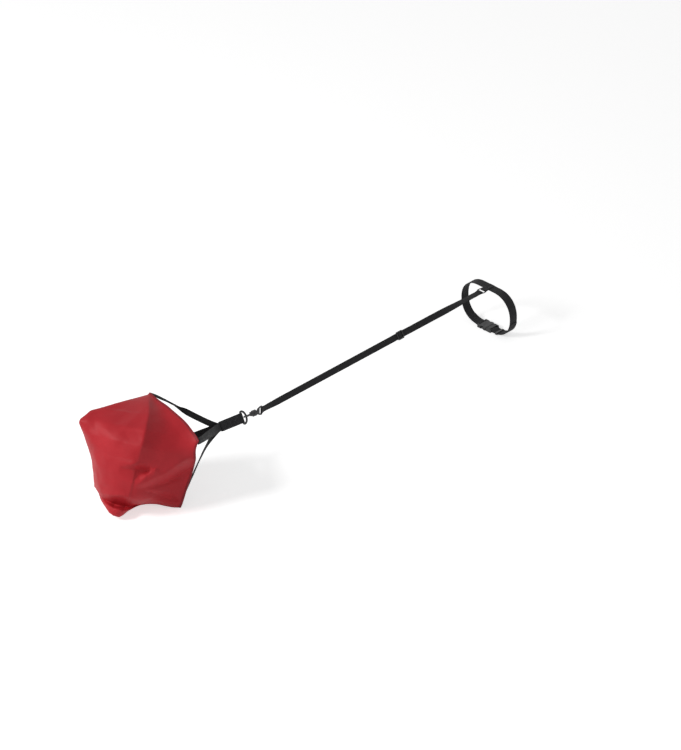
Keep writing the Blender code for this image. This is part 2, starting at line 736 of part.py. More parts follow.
def eye_outline():
    """The eye's web, which spreads from the boss, and its two arms beside the slot."""
    half = TETHER_WIDTH / 2 + SLACK + EYE_RIM
    hole = TETHER_WIDTH / 2 + SLACK
    back = -EYE_LENGTH
    corner = EYE_RIM / 3
    slot_back = -EYE_BAR - EYE_SLOT
    upper = [(slot_back, hole - corner / 2), (slot_back + corner / 2, hole), (EYE_BAR, hole)]
    upper += arc((EYE_BAR - corner, half - corner), corner, 0, 90, 4)
    upper += [(back * 0.45, half * 0.94)]
    upper += arc((back + corner, EYE_NECK_HALF - corner), corner, 90, 180, 4)
    return upper + [(x, -y) for x, y in reversed(upper)]


def make_eye(frame):
    mesh = plate_mesh("swivel_eye", (eye_outline(),), EYE_BAR + GAP / 2)
    eye = add("swivel_eye", mesh, PLASTIC, frame, turn=(math.radians(90), 0.0, 0.0))
    bevel(eye, EYE_BAR / 3)
    reach = TETHER_WIDTH / 2 + EYE_RIM / 2
    bar = rod_mesh("eye_bar", EYE_BAR, -reach, reach, "Z")
    boolean(eye, cutter("eye_bar", bar, frame), "UNION")
    boss_end = -EYE_REACH + HUB_REAR + GAP
    head_start = -EYE_REACH + HUB_REAR - HUB_WALL - GAP
    head_end = head_start - HEAD_LENGTH
    root = -EYE_LENGTH + EYE_RIM * 0.5
    profile = [(root, 0.0), (root, BOSS_RADIUS * 0.7), (-EYE_LENGTH, BOSS_RADIUS),
               (boss_end, BOSS_RADIUS), (boss_end, POST_RADIUS), (head_start, POST_RADIUS),
               (head_start, HEAD_RADIUS), (head_end + GAP, HEAD_RADIUS),
               (head_end, HEAD_RADIUS - GAP), (head_end, 0.0)]
    post = turned_mesh("swivel_post", profile)
    boolean(eye, cutter("swivel_post", post, frame), "UNION")
    smooth(eye)


def hook_line():
    """The bent bar of the hook, from its root on the hub to the tip of its nose."""
    wide = HOOK_HALF_WIDTH
    bow = -HOOK_REACH - DEE_WIRE - GAP - HOOK_WIRE + wide
    line = [(HUB_FRONT + 0.006, wide * 0.86), (HUB_FRONT, wide * 0.94), (HUB_FRONT - 0.006, wide)]
    line += [(x, wide) for x in spread(HUB_FRONT - 0.012, bow, 3)[:-1]]
    line += arc((bow, 0.0), wide, 90, 270, 16)
    line += [(NOSE_END, -wide)]
    return [(x, y, 0.0) for x, y in line]


def make_hook(frame):
    half = HOOK_BASE_HALF
    front = HUB_FRONT
    outline = arc((HUB_REAR - 0.004, half - 0.006), 0.004, 0, 90, 4)
    outline += arc((front + 0.003, half - 0.003), 0.003, 90, 180, 3)
    outline += [(x, -y) for x, y in reversed(outline)]
    mesh = plate_mesh("hook_body", (outline,), HOOK_BASE_THICKNESS / 2)
    hook = add("hook_body", mesh, PLASTIC, frame)
    bevel(hook, 0.0012, 2)
    hub = rod_mesh("hook_hub", HUB_RADIUS, HUB_FRONT / 2, HUB_REAR - GAP)
    boolean(hook, cutter("hook_hub", hub, frame), "UNION")
    bar = wire_mesh("hook_bar", hook_line(), HOOK_WIRE)
    boolean(hook, cutter("hook_bar", bar, frame), "UNION")
    bore = rod_mesh("hub_bore", POST_RADIUS + GAP, HUB_FRONT, HUB_REAR + GAP * 10)
    boolean(hook, cutter("hub_bore", bore, frame), "DIFFERENCE")
    inner = HEAD_RADIUS + GAP * 2
    hollow = rod_mesh("head_hollow", inner, HUB_FRONT - 0.010, HUB_REAR - HUB_WALL)
    boolean(hook, cutter("head_hollow", hollow, frame), "DIFFERENCE")
    reach = GATE_KNUCKLE + SLACK
    slot = box_mesh("gate_slot", (front - 0.010, -half * 2, -GATE_THICKNESS / 2 - GAP),
                    (GATE_PIVOT.x + reach, GATE_PIVOT.y + GATE_SWEEP_ROOM,
                     GATE_THICKNESS / 2 + GAP))
    boolean(hook, cutter("gate_slot", slot, frame), "DIFFERENCE")
    hole = rod_mesh("gate_pin_hole", PIN_RADIUS + GAP / 2, -HOOK_BASE_THICKNESS,
                    HOOK_BASE_THICKNESS, "Z", 16)
    place = (GATE_PIVOT.x, GATE_PIVOT.y, 0.0)
    boolean(hook, cutter("gate_pin_hole", hole, frame, place), "DIFFERENCE")
    smooth(hook)
    make_gate(frame, place)


def gate_outline():
    """The gate, from its knuckle to the lip that shuts behind the hook's nose."""
    x0 = GATE_PIVOT.x
    y0 = GATE_PIVOT.y
    inner = -HOOK_HALF_WIDTH + HOOK_WIRE + GAP
    lip = inner + GATE_LIP_THICKNESS
    outer = -HOOK_HALF_WIDTH - HOOK_WIRE + GAP
    step = NOSE_END + GAP
    knuckle = arc(GATE_PIVOT, GATE_KNUCKLE, -75, 95, 12)
    blade = [(HUB_FRONT, y0 + GATE_KNUCKLE), (step - GATE_LIP, lip), (step - GATE_LIP, inner),
             (step, inner), (step, outer), (HUB_FRONT, outer)]
    return [(x - x0, y - y0) for x, y in knuckle + blade]


def make_gate(frame, place):
    pivot = empty("gate_pivot", place, frame)
    mesh = plate_mesh("hook_gate", (gate_outline(), arc((0.0, 0.0), PIN_RADIUS + GAP, 0, 337.5, 15)),
                      GATE_THICKNESS / 2)
    smooth(bevel(add("hook_gate", mesh, PLASTIC, pivot), 0.0005))
    half = HOOK_BASE_THICKNESS / 2 - GAP
    pin = rod_mesh("gate_pin", PIN_RADIUS, -half, half, "Z", 16)
    smooth(add("gate_pin", pin, STEEL, frame, place))


# D-ring and bridle

def make_dee(frame):
    """A D with its straight bar at the collar and its round side in the hook."""
    half = COLLAR_WIDTH / 2 + DEE_WIRE + 2 * SLACK
    corner = DEE_WIRE * 1.2
    outline = arc((corner - DEE_DEPTH, -half + corner), corner, 270, 180, 4)
    outline += arc((corner - DEE_DEPTH, half - corner), corner, 180, 90, 4)
    depth = DEE_DEPTH - corner
    for angle in spread(78, -78, 18):
        x = depth * math.cos(math.radians(angle)) - depth
        outline.append((x, half * math.sin(math.radians(angle))))
    points = [(x, 0.0, z) for x, z in outline]
    mesh = wire_mesh("dee_ring", points, DEE_WIRE, closed=True)
    smooth(add("dee_ring", mesh, PLASTIC, frame))


LEG_LAYER = LEG_THICKNESS + GAP
STACK_HALF = 2 * LEG_LAYER + GAP / 2


def make_collar(frame):
    """Webbing folded round the D-ring's bar, with room for the four leg ends in it."""
    turn = DEE_WIRE + GAP + COLLAR_THICKNESS / 2
    lay = STACK_HALF + COLLAR_THICKNESS / 2
    side = []
    for run in spread(COLLAR_LENGTH, 0.0, 14):
        side.append((-run, lay + (turn - lay) * (1.0 - smoothstep(0.0, TURN_RUN_OUT, run))))
    path = side + arc((0.0, 0.0), turn, 75, -75, 8) + [(x, -off) for x, off in reversed(side)]
    strap("bridle_collar", path, COLLAR_WIDTH, COLLAR_THICKNESS,
          lambda x, off, across: Vector((x, off, across)), WEBBING, frame, Vector())


def corner_directions():
    """The directions from the mouth's centre to its corners, in the mouth's frame."""
    across = Vector((0.0, math.sin(MOUTH_ROLL), math.cos(MOUTH_ROLL)))
    quarter = Matrix.Rotation(math.radians(90), 3, "X")
    top = across
    near = quarter @ top
    low = quarter @ near
    far = quarter @ low
    return [top, near, low, far]


def leg_seat(tree, direction, side_of, deep, lateral):
    """A point of a leg that lies along the inside of one corner of the canopy."""
    along_panel = abs(lateral) / math.sqrt(2.0)
    target = direction * (MOUTH_DIAGONAL / 2 - along_panel) + side_of * lateral / math.sqrt(2.0)
    start = Vector((-deep, 0.0, 0.0))
    hit, normal, _, _ = tree.ray_cast(start, target.normalized())
    if normal.dot(target) > 0:
        normal = -normal
    return hit + normal * (SEAT_GAP + LEG_THICKNESS / 2)


def make_leg(name, layer, direction, slack, tree, mouth, frame):
    """One leg: a flat end in the collar, a free run that turns as it goes, and an
    end that lies in the corner of the canopy."""
    side_of = Vector((1.0, 0.0, 0.0)).cross(direction)
    if (mouth.to_3x3() @ side_of).z < 0:
        side_of = -side_of
    columns = spread(-LEG_WIDTH / 2, LEG_WIDTH / 2, 4)
    off = (layer - 1.5) * LEG_LAYER
    rows = [[Vector((x, off, column)) for column in columns]
            for x in spread(-COLLAR_LENGTH + LEG_TAB, -COLLAR_LENGTH, 3)]
    depths = spread(GAP * 10, LEG_SEAT, 6)
    seats = [[mouth @ leg_seat(tree, direction, side_of, deep, column) for column in columns]
             for deep in depths]
    start_pull = Vector((-slack, 0.0, 0.0))
    for share in spread(0.0, 1.0, 14)[1:-1]:
        row = []
        for k in range(len(columns)):
            end_pull = (seats[1][k] - seats[0][k]).normalized() * LEG_ENTRY
            row.append(hermite(rows[3][k], start_pull, seats[0][k], end_pull, share))
        rows.append(row)
    rows += seats
    shape = bmesh.new()
    grid = [[shape.verts.new(point) for point in row] for row in rows]
    for first, second in zip(grid, grid[1:]):
        for k in range(len(columns) - 1):
            shape.faces.new((first[k], second[k], second[k + 1], first[k + 1]))
    mesh = bpy.data.meshes.new(name)
    shape.to_mesh(mesh)
    shape.free()
    thicken(add(name, mesh, WEBBING, frame), LEG_THICKNESS)


def hermite(start, start_pull, end, end_pull, share):
    """A point on the smooth curve that leaves one point and reaches another."""
    a = 2 * share ** 3 - 3 * share ** 2 + 1
    b = share ** 3 - 2 * share ** 2 + share
    c = -2 * share ** 3 + 3 * share ** 2
    d = share ** 3 - share ** 2
    return start * a + start_pull * b + end * c + end_pull * d


# Canopy

def canopy_cage():
    """The coarse cage: rows from the mouth to the back, columns at the four corners
    and the middles of the four sides, and a centre point that closes the back."""
    corners = [direction * MOUTH_DIAGONAL / 2 for direction in corner_directions()]
    backs = [BACK_TOP, BACK_NEAR, BACK_LOW, BACK_FAR]
    rows = []
    for level in range(CANOPY_LEVELS + 1):
        share = level / CANOPY_LEVELS
        belly = math.sin(math.pi * share)
        row = []
        for k in range(4):
            corner = corners[k].lerp(backs[k], share)
            after = corners[(k + 1) % 4].lerp(backs[(k + 1) % 4], share)
            outward = (corners[k] + corners[(k + 1) % 4]).normalized()
            middle = (corner + after) / 2
            middle += outward * (MOUTH_BOW[k] * (1.0 - share) + SIDE_BILLOW[k] * belly)
            if k == 1:
                corner = corner - corners[k].normalized() * NEAR_TUCK * belly
            if k == 2:
                corner = corner - corners[k].normalized() * LOW_TUCK * belly ** 2
            row += [corner, middle]
        rows.append(row)
    centre = sum(backs, Vector()) / 4 + Vector((-BACK_BILLOW, 0.0, 0.0))
    for k in range(4):
        rows[-1][2 * k + 1] += Vector((BACK_BILLOW * BACK_EDGE_PUSH[k], 0.0, 0.0))
    return rows, centre


def canopy_surface():
    """The canopy's outer surface as a smooth open mesh in the mouth's frame."""
    rows, centre = canopy_cage()
    shape = bmesh.new()
    crease_point = shape.verts.layers.float.new("crease_vert")
    crease_edge = shape.edges.layers.float.new("crease_edge")
    grid = [[shape.verts.new(point) for point in row] for row in rows]
    tip = shape.verts.new(centre)
    for first, second in zip(grid, grid[1:]):
        for k in range(8):
            shape.faces.new((first[k], first[(k + 1) % 8], second[(k + 1) % 8], second[k]))
    last = grid[-1]
    for k in range(4):
        shape.faces.new((last[2 * k - 1], last[2 * k], last[2 * k + 1], tip))
    for k in range(4):
        grid[0][2 * k][crease_point] = 1.0
        last[2 * k][crease_point] = BACK_CREASE[k]
        for first, second in zip(grid, grid[1:]):
            edge = shape.edges.get((first[2 * k], second[2 * k]))
            edge[crease_edge] = SEAM_CREASE[k]
    bmesh.ops.recalc_face_normals(shape, faces=shape.faces)
    mesh = bpy.data.meshes.new("canopy_cage")
    shape.to_mesh(mesh)
    shape.free()
    holder = bpy.data.objects.new("canopy_cage", mesh)
    PARTS.objects.link(holder)
    rounding = holder.modifiers.new("soft", "SUBSURF")
    rounding.levels = 2
    rounding.render_levels = 2
    surface = evaluated_mesh(holder)
    bpy.data.objects.remove(holder)
    return surface


def fold_axes():
    """Right, up and outward on the side where the folds stand out."""
    flat = math.cos(FOLD_ELEVATION)
    out = Vector((math.sin(FOLD_AZIMUTH) * flat, -math.cos(FOLD_AZIMUTH) * flat,
                  math.sin(FOLD_ELEVATION)))
    right = Vector((math.cos(FOLD_AZIMUTH), math.sin(FOLD_AZIMUTH), 0.0))
    return right, out.cross(right), out


def ridge_height(spot):
    """How far the ridge lifts the cloth at a place across and up from the eye."""
    best = None
    for first, second in zip(RIDGE, RIDGE[1:]):
        start = Vector(first[:2])
        run = Vector(second[:2]) - start
        share = min(max((spot - start).dot(run) / run.length_squared, 0.0), 1.0)
        away = spot - start - run * share
        if best is None or away.length < best[0]:
            values = [a + (b - a) * share for a, b in zip(first[2:], second[2:])]
            best = (away.length, run.cross(away) > 0.0, values)
    distance, on_right, (height, right_reach, left_reach) = best
    if on_right:
        return height * max(0.0, 1.0 - distance / right_reach) ** RIDGE_HOLLOW_RIGHT
    return height * max(0.0, 1.0 - distance / left_reach) ** RIDGE_HOLLOW_LEFT


def make_canopy(frame, to_world):
    """The cloth with its ridge, open at the mouth and flat where it lies on the floor."""
    surface = canopy_surface()
    surface.transform(to_world)
    surface.update()
    right, up, out = fold_axes()
    eye = Vector((EYE_X, 0.0, AXIS_HEIGHT))
    for point in surface.vertices:
        facing = smoothstep(*FACING, point.normal.dot(out))
        away = point.co - eye
        point.co += out * facing * ridge_height(Vector((away.dot(right), away.dot(up))))
        point.co.z = max(point.co.z, 0.0)
    surface.transform(to_world.inverted())
    canopy = add("canopy_cloth", surface, RED_CLOTH, frame)
    return thicken(canopy, CANOPY_WALL, -1.0)


def inner_tree(canopy):
    """The cloth's faces, for laying the leg ends on its inside."""
    mesh = evaluated_mesh(canopy)
    points = [v.co for v in mesh.vertices]
    faces = [tuple(f.vertices) for f in mesh.polygons]
    return BVHTree.FromPolygons(points, faces)


def make_drogue(frame):
    mouth_turn = Matrix.Rotation(MOUTH_YAW, 4, "Z") @ Matrix.Rotation(MOUTH_PITCH, 4, "Y")
    upright = Matrix.Rotation(-HITCH_ROLL, 4, "X")
    mouth = upright @ Matrix.Translation((-BRIDLE_LENGTH, 0.0, 0.0)) @ mouth_turn
    mouth_frame = empty("canopy_mouth", mouth.to_translation(), frame,
                        tuple(mouth.to_euler()))
    bpy.context.view_layer.update()
    canopy = make_canopy(mouth_frame, mouth_frame.matrix_world.copy())
    tree = inner_tree(canopy)
    top, near, low, far = corner_directions()
    legs = (("leg_far", 3, far, LEG_SLACK), ("leg_top", 2, top, LEG_SLACK),
            ("leg_low", 1, low, LOW_LEG_SLACK), ("leg_near", 0, near, LEG_SLACK))
    for name, layer, direction, slack in legs:
        make_leg(name, layer, direction, slack, tree, mouth, frame)
    make_collar(frame)


clear_scene()
PARTS = collection(COLLECTION)
CUTTER_PARTS = collection(CUTTERS)
RED_CLOTH = material("red_coated_nylon", (0.52, 0.026, 0.035), 0.45)
WEBBING = material("black_webbing", (0.014, 0.014, 0.016), 0.75)
PLASTIC = material("black_plastic", (0.012, 0.012, 0.013), 0.38)
STEEL = material("pin_steel", (0.55, 0.55, 0.56), 0.3, 1.0)

BELT_FRAME = empty("belt_frame", (0.0, 0.0, 0.0))
RING_PIVOT = empty("belt_ring_pivot", (RING_BAR_X, 0.0, AXIS_HEIGHT), BELT_FRAME)
TETHER_PIVOT = empty("tether_pivot", (RING_FAR_X - RING_BAR_X, 0.0, 0.0), RING_PIVOT)
EYE_PIVOT = empty("eye_pivot", (-TETHER_LENGTH, 0.0, 0.0), TETHER_PIVOT, (0.0, 0.0, DROGUE_YAW))
SWIVEL = empty("swivel_axis", (-EYE_REACH, 0.0, 0.0), EYE_PIVOT, (HITCH_ROLL, 0.0, 0.0))
DEE_PIVOT = empty("dee_pivot", (-HOOK_REACH, 0.0, 0.0), SWIVEL)
BRIDLE_PIVOT = empty("bridle_pivot", (-DEE_DEPTH, 0.0, 0.0), DEE_PIVOT)

make_belt(BELT_FRAME)
make_socket(BELT_FRAME)
make_plug(BELT_FRAME)
make_prongs(BELT_FRAME)
make_ring_tab(BELT_FRAME)
make_belt_ring(RING_PIVOT)
make_tether(TETHER_PIVOT)
make_eye(EYE_PIVOT)
make_hook(SWIVEL)
make_dee(DEE_PIVOT)
make_drogue(BRIDLE_PIVOT)
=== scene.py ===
"""The look of the swim parachute: cloth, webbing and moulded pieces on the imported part.

Metres, Z up. The waist belt stands on the floor round a line along X, and the canopy is
towed behind it, towards -X.
"""

import bisect
import math

import bmesh
import bpy
from mathutils import Matrix, Vector
from mathutils.bvhtree import BVHTree
from mathutils.noise import noise


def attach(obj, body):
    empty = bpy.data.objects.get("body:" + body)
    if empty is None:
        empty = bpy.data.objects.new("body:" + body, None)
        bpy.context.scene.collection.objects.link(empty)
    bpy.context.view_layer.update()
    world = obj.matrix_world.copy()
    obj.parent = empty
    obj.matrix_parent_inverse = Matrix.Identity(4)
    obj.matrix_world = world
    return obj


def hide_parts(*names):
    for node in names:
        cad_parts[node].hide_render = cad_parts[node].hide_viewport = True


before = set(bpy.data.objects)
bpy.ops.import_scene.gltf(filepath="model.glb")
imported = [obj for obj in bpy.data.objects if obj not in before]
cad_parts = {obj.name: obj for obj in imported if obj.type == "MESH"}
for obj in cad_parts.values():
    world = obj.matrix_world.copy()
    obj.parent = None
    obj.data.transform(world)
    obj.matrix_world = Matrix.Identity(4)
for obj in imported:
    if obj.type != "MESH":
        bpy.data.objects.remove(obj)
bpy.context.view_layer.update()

# Photograph
PHOTO_WIDTH = 681
PHOTO_HEIGHT = 750
PIXELS_PER_METRE = 270.0
CAMERA_AZIMUTH = math.radians(-46)
CAMERA_ELEVATION = math.radians(31.5)
CAMERA_DISTANCE = 100.0
CAMERA_SENSOR = 36.0
ANCHOR = Vector((-1.220, 0.0, 0.180))
ANCHOR_PIXEL = (261.5, 410.0)

# Fits, as in the part
GAP = 0.0003

# Webbing, as in the part
BELT_WIDTH = 0.038
BELT_THICKNESS = 0.0016
TETHER_WIDTH = 0.025
TETHER_THICKNESS = 0.0015
COLLAR_WIDTH = 0.038
COLLAR_THICKNESS = 0.0016
LEG_WIDTH = 0.030
LEG_THICKNESS = 0.0014
SEWN_LAP = 0.055
TURN_RUN_OUT = 0.016

# Waist belt, as in the part
AXIS_HEIGHT = 0.180
BELT_HALF_WIDTH = 0.125
BELT_FLAT = 0.040
BELT_ROUNDNESS = 2.2
BELT_TAIL = 0.130
BUCKLE_THICKNESS = 0.013
BUCKLE_BAR = 0.0022
SOCKET_BAR_AT = 0.0375
PLUG_BAR_AT = -0.0275
BELT_TURN = BUCKLE_BAR + GAP + BELT_THICKNESS / 2
BELT_LAYER = BELT_THICKNESS + GAP
BUCKLE_MIDDLE = BUCKLE_THICKNESS / 2

# Belt ring, tether and slider, as in the part
RING_WIRE = 0.0020
RING_LENGTH = 0.018
TAB_REACH = 0.012
RING_BAR_X = -(BELT_WIDTH / 2 + TAB_REACH)
RING_FAR_X = RING_BAR_X - RING_LENGTH
TETHER_LENGTH = 1.171
TETHER_HOOK_ROLL = math.radians(90)
TETHER_MID_ROLL = math.radians(58)
TETHER_BELT_ROLL = 0.0
TWIST_FROM_BELT = (0.060, 0.300)
SLIDER_AT = 0.740
SLIDER_BAR = 0.0018
SLIDER_PITCH = 0.013
SLIDER_FLAT = 0.002
SLIDER_RUN_OUT = 0.030
EYE_BAR = 0.0022
EYE_X = RING_FAR_X - TETHER_LENGTH
TETHER_LAYER = TETHER_THICKNESS + GAP
EYE_TURN = EYE_BAR + GAP + TETHER_THICKNESS / 2
RING_TURN = RING_WIRE + GAP + TETHER_THICKNESS / 2
SLIDER_TURN = SLIDER_BAR + GAP + TETHER_THICKNESS / 2
WEAVE_TOP = SLIDER_TURN + TETHER_LAYER + GAP
WEAVE_LOW = SLIDER_TURN + GAP
WEAVE_END = SLIDER_PITCH - SLIDER_BAR * 1.3

# Hook, D-ring and bridle, as in the part
EYE_REACH = 0.036
HOOK_REACH = 0.036
DEE_WIRE = 0.0040
DEE_DEPTH = 0.020
DROGUE_YAW = math.radians(-8.0)
HITCH_ROLL = math.radians(-32)
COLLAR_LENGTH = 0.100
LEG_TAB = 0.065
LEG_SEAT = 0.035
LEG_SLACK = 0.07
LEG_ENTRY = 0.05
SEAT_GAP = 0.0028
BRIDLE_LENGTH = 0.3630
LEG_LAYER = LEG_THICKNESS + GAP
MIDDLE_LAYER = 1.5
STACK_HALF = 2 * LEG_LAYER + GAP / 2
COLLAR_TURN = DEE_WIRE + GAP + COLLAR_THICKNESS / 2
COLLAR_LAY = STACK_HALF + COLLAR_THICKNESS / 2

# Straps that lie a little otherwise than in the part, as the photograph shows them
TWIST_FROM_HOOK = (0.018, 0.100)
LOW_LEG_SLACK = 0.18

# Added turns of the legs about their own length: shares of the free run, with degrees
LEG_TURNS = {
    "leg_top": ((0.0, 0.0), (0.12, -14.0), (0.30, 0.0), (0.44, 6.0), (0.62, -60.0), (0.80, -30.0),
                (1.0, 0.0)),
    "leg_near": ((0.0, 0.0), (1.0, 0.0)),
    "leg_low": ((0.0, 0.0), (0.10, 0.0), (0.30, -34.0), (0.42, -26.0), (0.60, 0.0), (1.0, 0.0)),
    "leg_far": ((0.0, 0.0), (1.0, 0.0)),
}

# Canopy, as in the part
MOUTH_DIAGONAL = 0.439
MOUTH_ROLL = math.radians(32.9)
MOUTH_PITCH = math.radians(9.4)
MOUTH_YAW = math.radians(1.6)
MOUTH_BOW = (0.036, 0.020, 0.016, 0.016)
BACK_TOP = Vector((-0.318, 0.163, 0.147))
BACK_NEAR = Vector((-0.221, -0.105, 0.034))
BACK_LOW = Vector((-0.262, -0.050, -0.220))
BACK_FAR = Vector((-0.200, 0.140, -0.180))
SIDE_BILLOW = (0.000, 0.034, 0.064, 0.030)
BACK_BILLOW = 0.050
LOW_TUCK = 0.044
NEAR_TUCK = 0.010
BACK_EDGE_PUSH = (-0.35, -0.35, -0.35, 0.50)
SEAM_CREASE = (0.45, 0.0, 0.45, 0.45)
BACK_CREASE = (0.35, 0.3, 0.5, 0.5)
CANOPY_LEVELS = 4

# Folds of the canopy. Each is a line of points: a pixel of the photograph, how far the
# cloth stands out towards the camera there, in metres, and how far the fold reaches to the
# right and to the left of the way along it, in pixels. The two numbers after the points
# say how hollow the right and the left side are.
FOLDS = {
    "ridge": (((150.6, 393.0, 0.0, 3.0, 3.0), (150.4, 401.0, 0.020, 10.0, 20.0),
               (149.3, 414.0, 0.046, 24.0, 42.0), (146.2, 430.0, 0.066, 40.0, 58.0),
               (142.6, 446.0, 0.056, 50.0, 58.0), (139.0, 461.0, 0.024, 50.0, 50.0)), 2.2, 1.2),
    "shelf": (((120.0, 468.5, 0.0, 5.0, 8.0), (130.0, 469.0, -0.014, 5.0, 12.0),
               (141.0, 469.5, -0.030, 7.0, 15.0), (149.0, 470.5, -0.022, 7.0, 13.0),
               (156.0, 471.5, 0.0, 5.0, 8.0)), 1.1, 1.3),
    "tuck": (((152.5, 471.0, 0.012, 8.0, 4.0), (147.0, 476.0, 0.014, 14.0, 4.5),
              (140.0, 482.5, 0.008, 14.0, 6.0), (134.0, 487.0, 0.0, 10.0, 6.0)), 1.1, 0.9),
    "low_valley": (((137.0, 489.0, 0.0, 4.0, 8.0), (150.0, 486.0, -0.030, 6.0, 14.0),
                    (168.4, 481.6, -0.068, 9.0, 20.0), (180.0, 474.5, -0.080, 10.0, 26.0),
                    (191.0, 467.0, -0.060, 10.0, 28.0)), 1.4, 0.9),
    "low_crease": (((141.0, 489.0, 0.0, 3.0, 4.0), (150.0, 492.0, -0.010, 3.0, 5.0),
                    (162.0, 494.5, -0.012, 3.5, 5.0), (172.0, 496.5, -0.007, 3.5, 5.0),
                    (179.0, 498.0, 0.0, 3.0, 4.0)), 1.0, 1.3),
    "foot_valley": (((100.0, 494.0, 0.0, 3.0, 3.0), (107.0, 500.0, -0.036, 6.0, 3.0),
                     (115.0, 504.5, -0.062, 10.0, 3.0), (125.0, 506.5, -0.062, 10.5, 3.0),
                     (136.0, 505.5, -0.030, 7.0, 3.0), (147.0, 505.0, 0.0, 4.0, 3.0)), 0.85, 1.0),
    "corner_valley": (((97.0, 415.0, -0.002, 8.0, 8.0), (99.0, 428.0, -0.007, 9.0, 11.0),
                       (105.0, 444.0, -0.005, 9.0, 11.0), (112.0, 456.0, 0.0, 8.0, 8.0)), 1.2, 1.2),
    "slant": (((147.0, 406.0, 0.002, 6.0, 8.0), (132.0, 421.0, 0.006, 8.0, 10.0),
               (116.0, 437.0, 0.005, 9.0, 10.0), (106.0, 448.0, 0.0, 8.0, 8.0)), 1.2, 1.2),
}
FOLD_SMOOTHING = 1

# How squarely the cloth faces the camera where folds begin and where they are full
FOLDS_FACE = (0.02, 0.25)

# Low creases and dents: how many to a metre, how deep and from where behind the mouth
CREASE_ALONG = 6.0
CREASE_ACROSS = 26.0
CREASE_DEPTH = 0.0032
DENT_SCALE = 48.0
DENT_DEPTH = 0.0005
CREASES_START = (0.015, 0.090)

# Pulls on the canopy's outline, in pixels of the photograph: where, how far to the right
# and down, and how far the pull reaches
PULLS = {
    "left_side": (84.0, 424.0, -4.0, 0.0, 34.0),
    "left_corner": (79.0, 411.0, 2.0, 4.0, 14.0),
    "upper_mouth_edge": (172.0, 408.0, -1.3, 1.3, 24.0),
    "lower_mouth_edge": (199.0, 448.0, -2.2, 0.0, 13.0),
    "top_corner": (158.0, 399.0, -0.9, 0.9, 13.0),
    "low_corner": (179.0, 506.0, 1.3, 2.6, 24.0),
    "foot": (113.0, 519.0, 0.4, -3.2, 8.0),
    "left_of_foot": (105.0, 510.0, -1.2, 0.8, 9.0),
    "right_of_foot": (122.0, 515.0, 0.3, 1.0, 9.0),
}

# Colours
NYLON_DARK = (0.44, 0.016, 0.024)
NYLON_LIGHT = (0.50, 0.022, 0.031)
TAPE_DARK = (0.24, 0.010, 0.018)
TAPE_LIGHT = (0.30, 0.014, 0.023)
WEB_DARK = (0.004, 0.004, 0.005)
WEB_LIGHT = (0.014, 0.014, 0.016)
BLACK_PLASTIC = (0.005, 0.005, 0.006)
STEEL_DARK = (0.40, 0.40, 0.41)
STEEL_LIGHT = (0.62, 0.62, 0.63)
RED_THREAD = (0.30, 0.016, 0.024)
BLACK_THREAD = (0.030, 0.030, 0.034)

# Grain of the surfaces: the pitch of what is woven, and the scale of the rest
RIB_PITCH = 0.0024
TWILL_PITCH = 0.0036
NYLON_WEAVE = 7000.0
NYLON_FADE = 9.0
NYLON_CRUMPLE = 38.0
WEBBING_WEAR = 60.0
PLASTIC_GRAIN = 1800.0
PLASTIC_WEAR = 90.0
PLASTIC_ROUGHNESS = 0.42
STEEL_LINES = 600.0
STEEL_DRAWING = 9000.0
THREAD_TWIST = 2400.0

# How high the bumps of the surfaces stand
CRUMPLE_HEIGHT = 0.0016
WEAVE_HEIGHT = 0.00003
RIB_HEIGHT = 0.00022
GRAIN_HEIGHT = 0.00006
DRAWING_HEIGHT = 0.00002
TWIST_HEIGHT = 0.0001

# Stage and light
FLOOR_COLOUR = (0.90, 0.90, 0.90)
FLOOR_LIFT = 0.62
FLOOR_REACH = 14.0
FLOOR_DROP = 0.0005
FLOOR_ROUGHNESS = 0.9
FLOOR_GLOSS = 0.1
WORLD_LIGHT = 0.24
STAGE_CENTRE = Vector((-0.95, 0.0, 0.15))
KEY_FROM = (-0.74, 0.32, 0.60)
LAMP_DISTANCE = 6.0
KEY_SIZE = 1.8
KEY_POWER = 186.0
FILL_FROM = (0.40, -0.30, 0.86)
FILL_SIZE = 3.0
FILL_POWER = 40.0

# How webbing is drawn: the steps across it and round a bar, and the angles of a turn
# round the bar at one end of a path and at the other
ACROSS_STEPS = 8
BEND_STEPS = 8
NEAR_BEND = (105, 255)
FAR_BEND = (75, -75)

# The webbing's round edge: where its points lie, how thin it gets, and what counts as sharp
RIM_SHARES = (0.0, 0.06, 0.2, 0.5)
EDGE_SHARE = 0.35
SHARP_ANGLE = math.radians(60)

# How finely the belt, the tab, the collar and the tether are drawn along their paths
OVAL_STEPS = 44
WAIST_STEPS = 110
BELT_LAP_STEPS = 14
BELT_TAIL_STEPS = 26
TAB_STEPS = 12
COLLAR_STEPS = 20
HOOK_LAP_STEPS = 12
DRAWN_STEPS = 8
LONG_RUN_STEPS = 30
SHORT_RUN_STEPS = 22
RUN_IN_STEPS = 5
RUN_OUT_STEPS = 6
WEAVE_STEPS = 24

# Where the tether's plain runs begin and end between its turns and its slider
DRAWN_IN = TURN_RUN_OUT * 1.2
TAIL_DROP = SLIDER_PITCH * 0.7
SLIDER_RUN_IN = SLIDER_RUN_OUT * 0.7
PLAIN_FROM = 0.04
PLAIN_AFTER_SLIDER = 0.07
PLAIN_TO_RING = 0.03

# How the legs are drawn, where their sewn ends start, and how many of their columns at
# each edge lie outside the stitches
LEG_TAB_STEPS = 4
LEG_STEPS = 40
SEAT_STEPS = 8
SEAT_START = 10 * GAP
UNSEWN_EDGE = 3

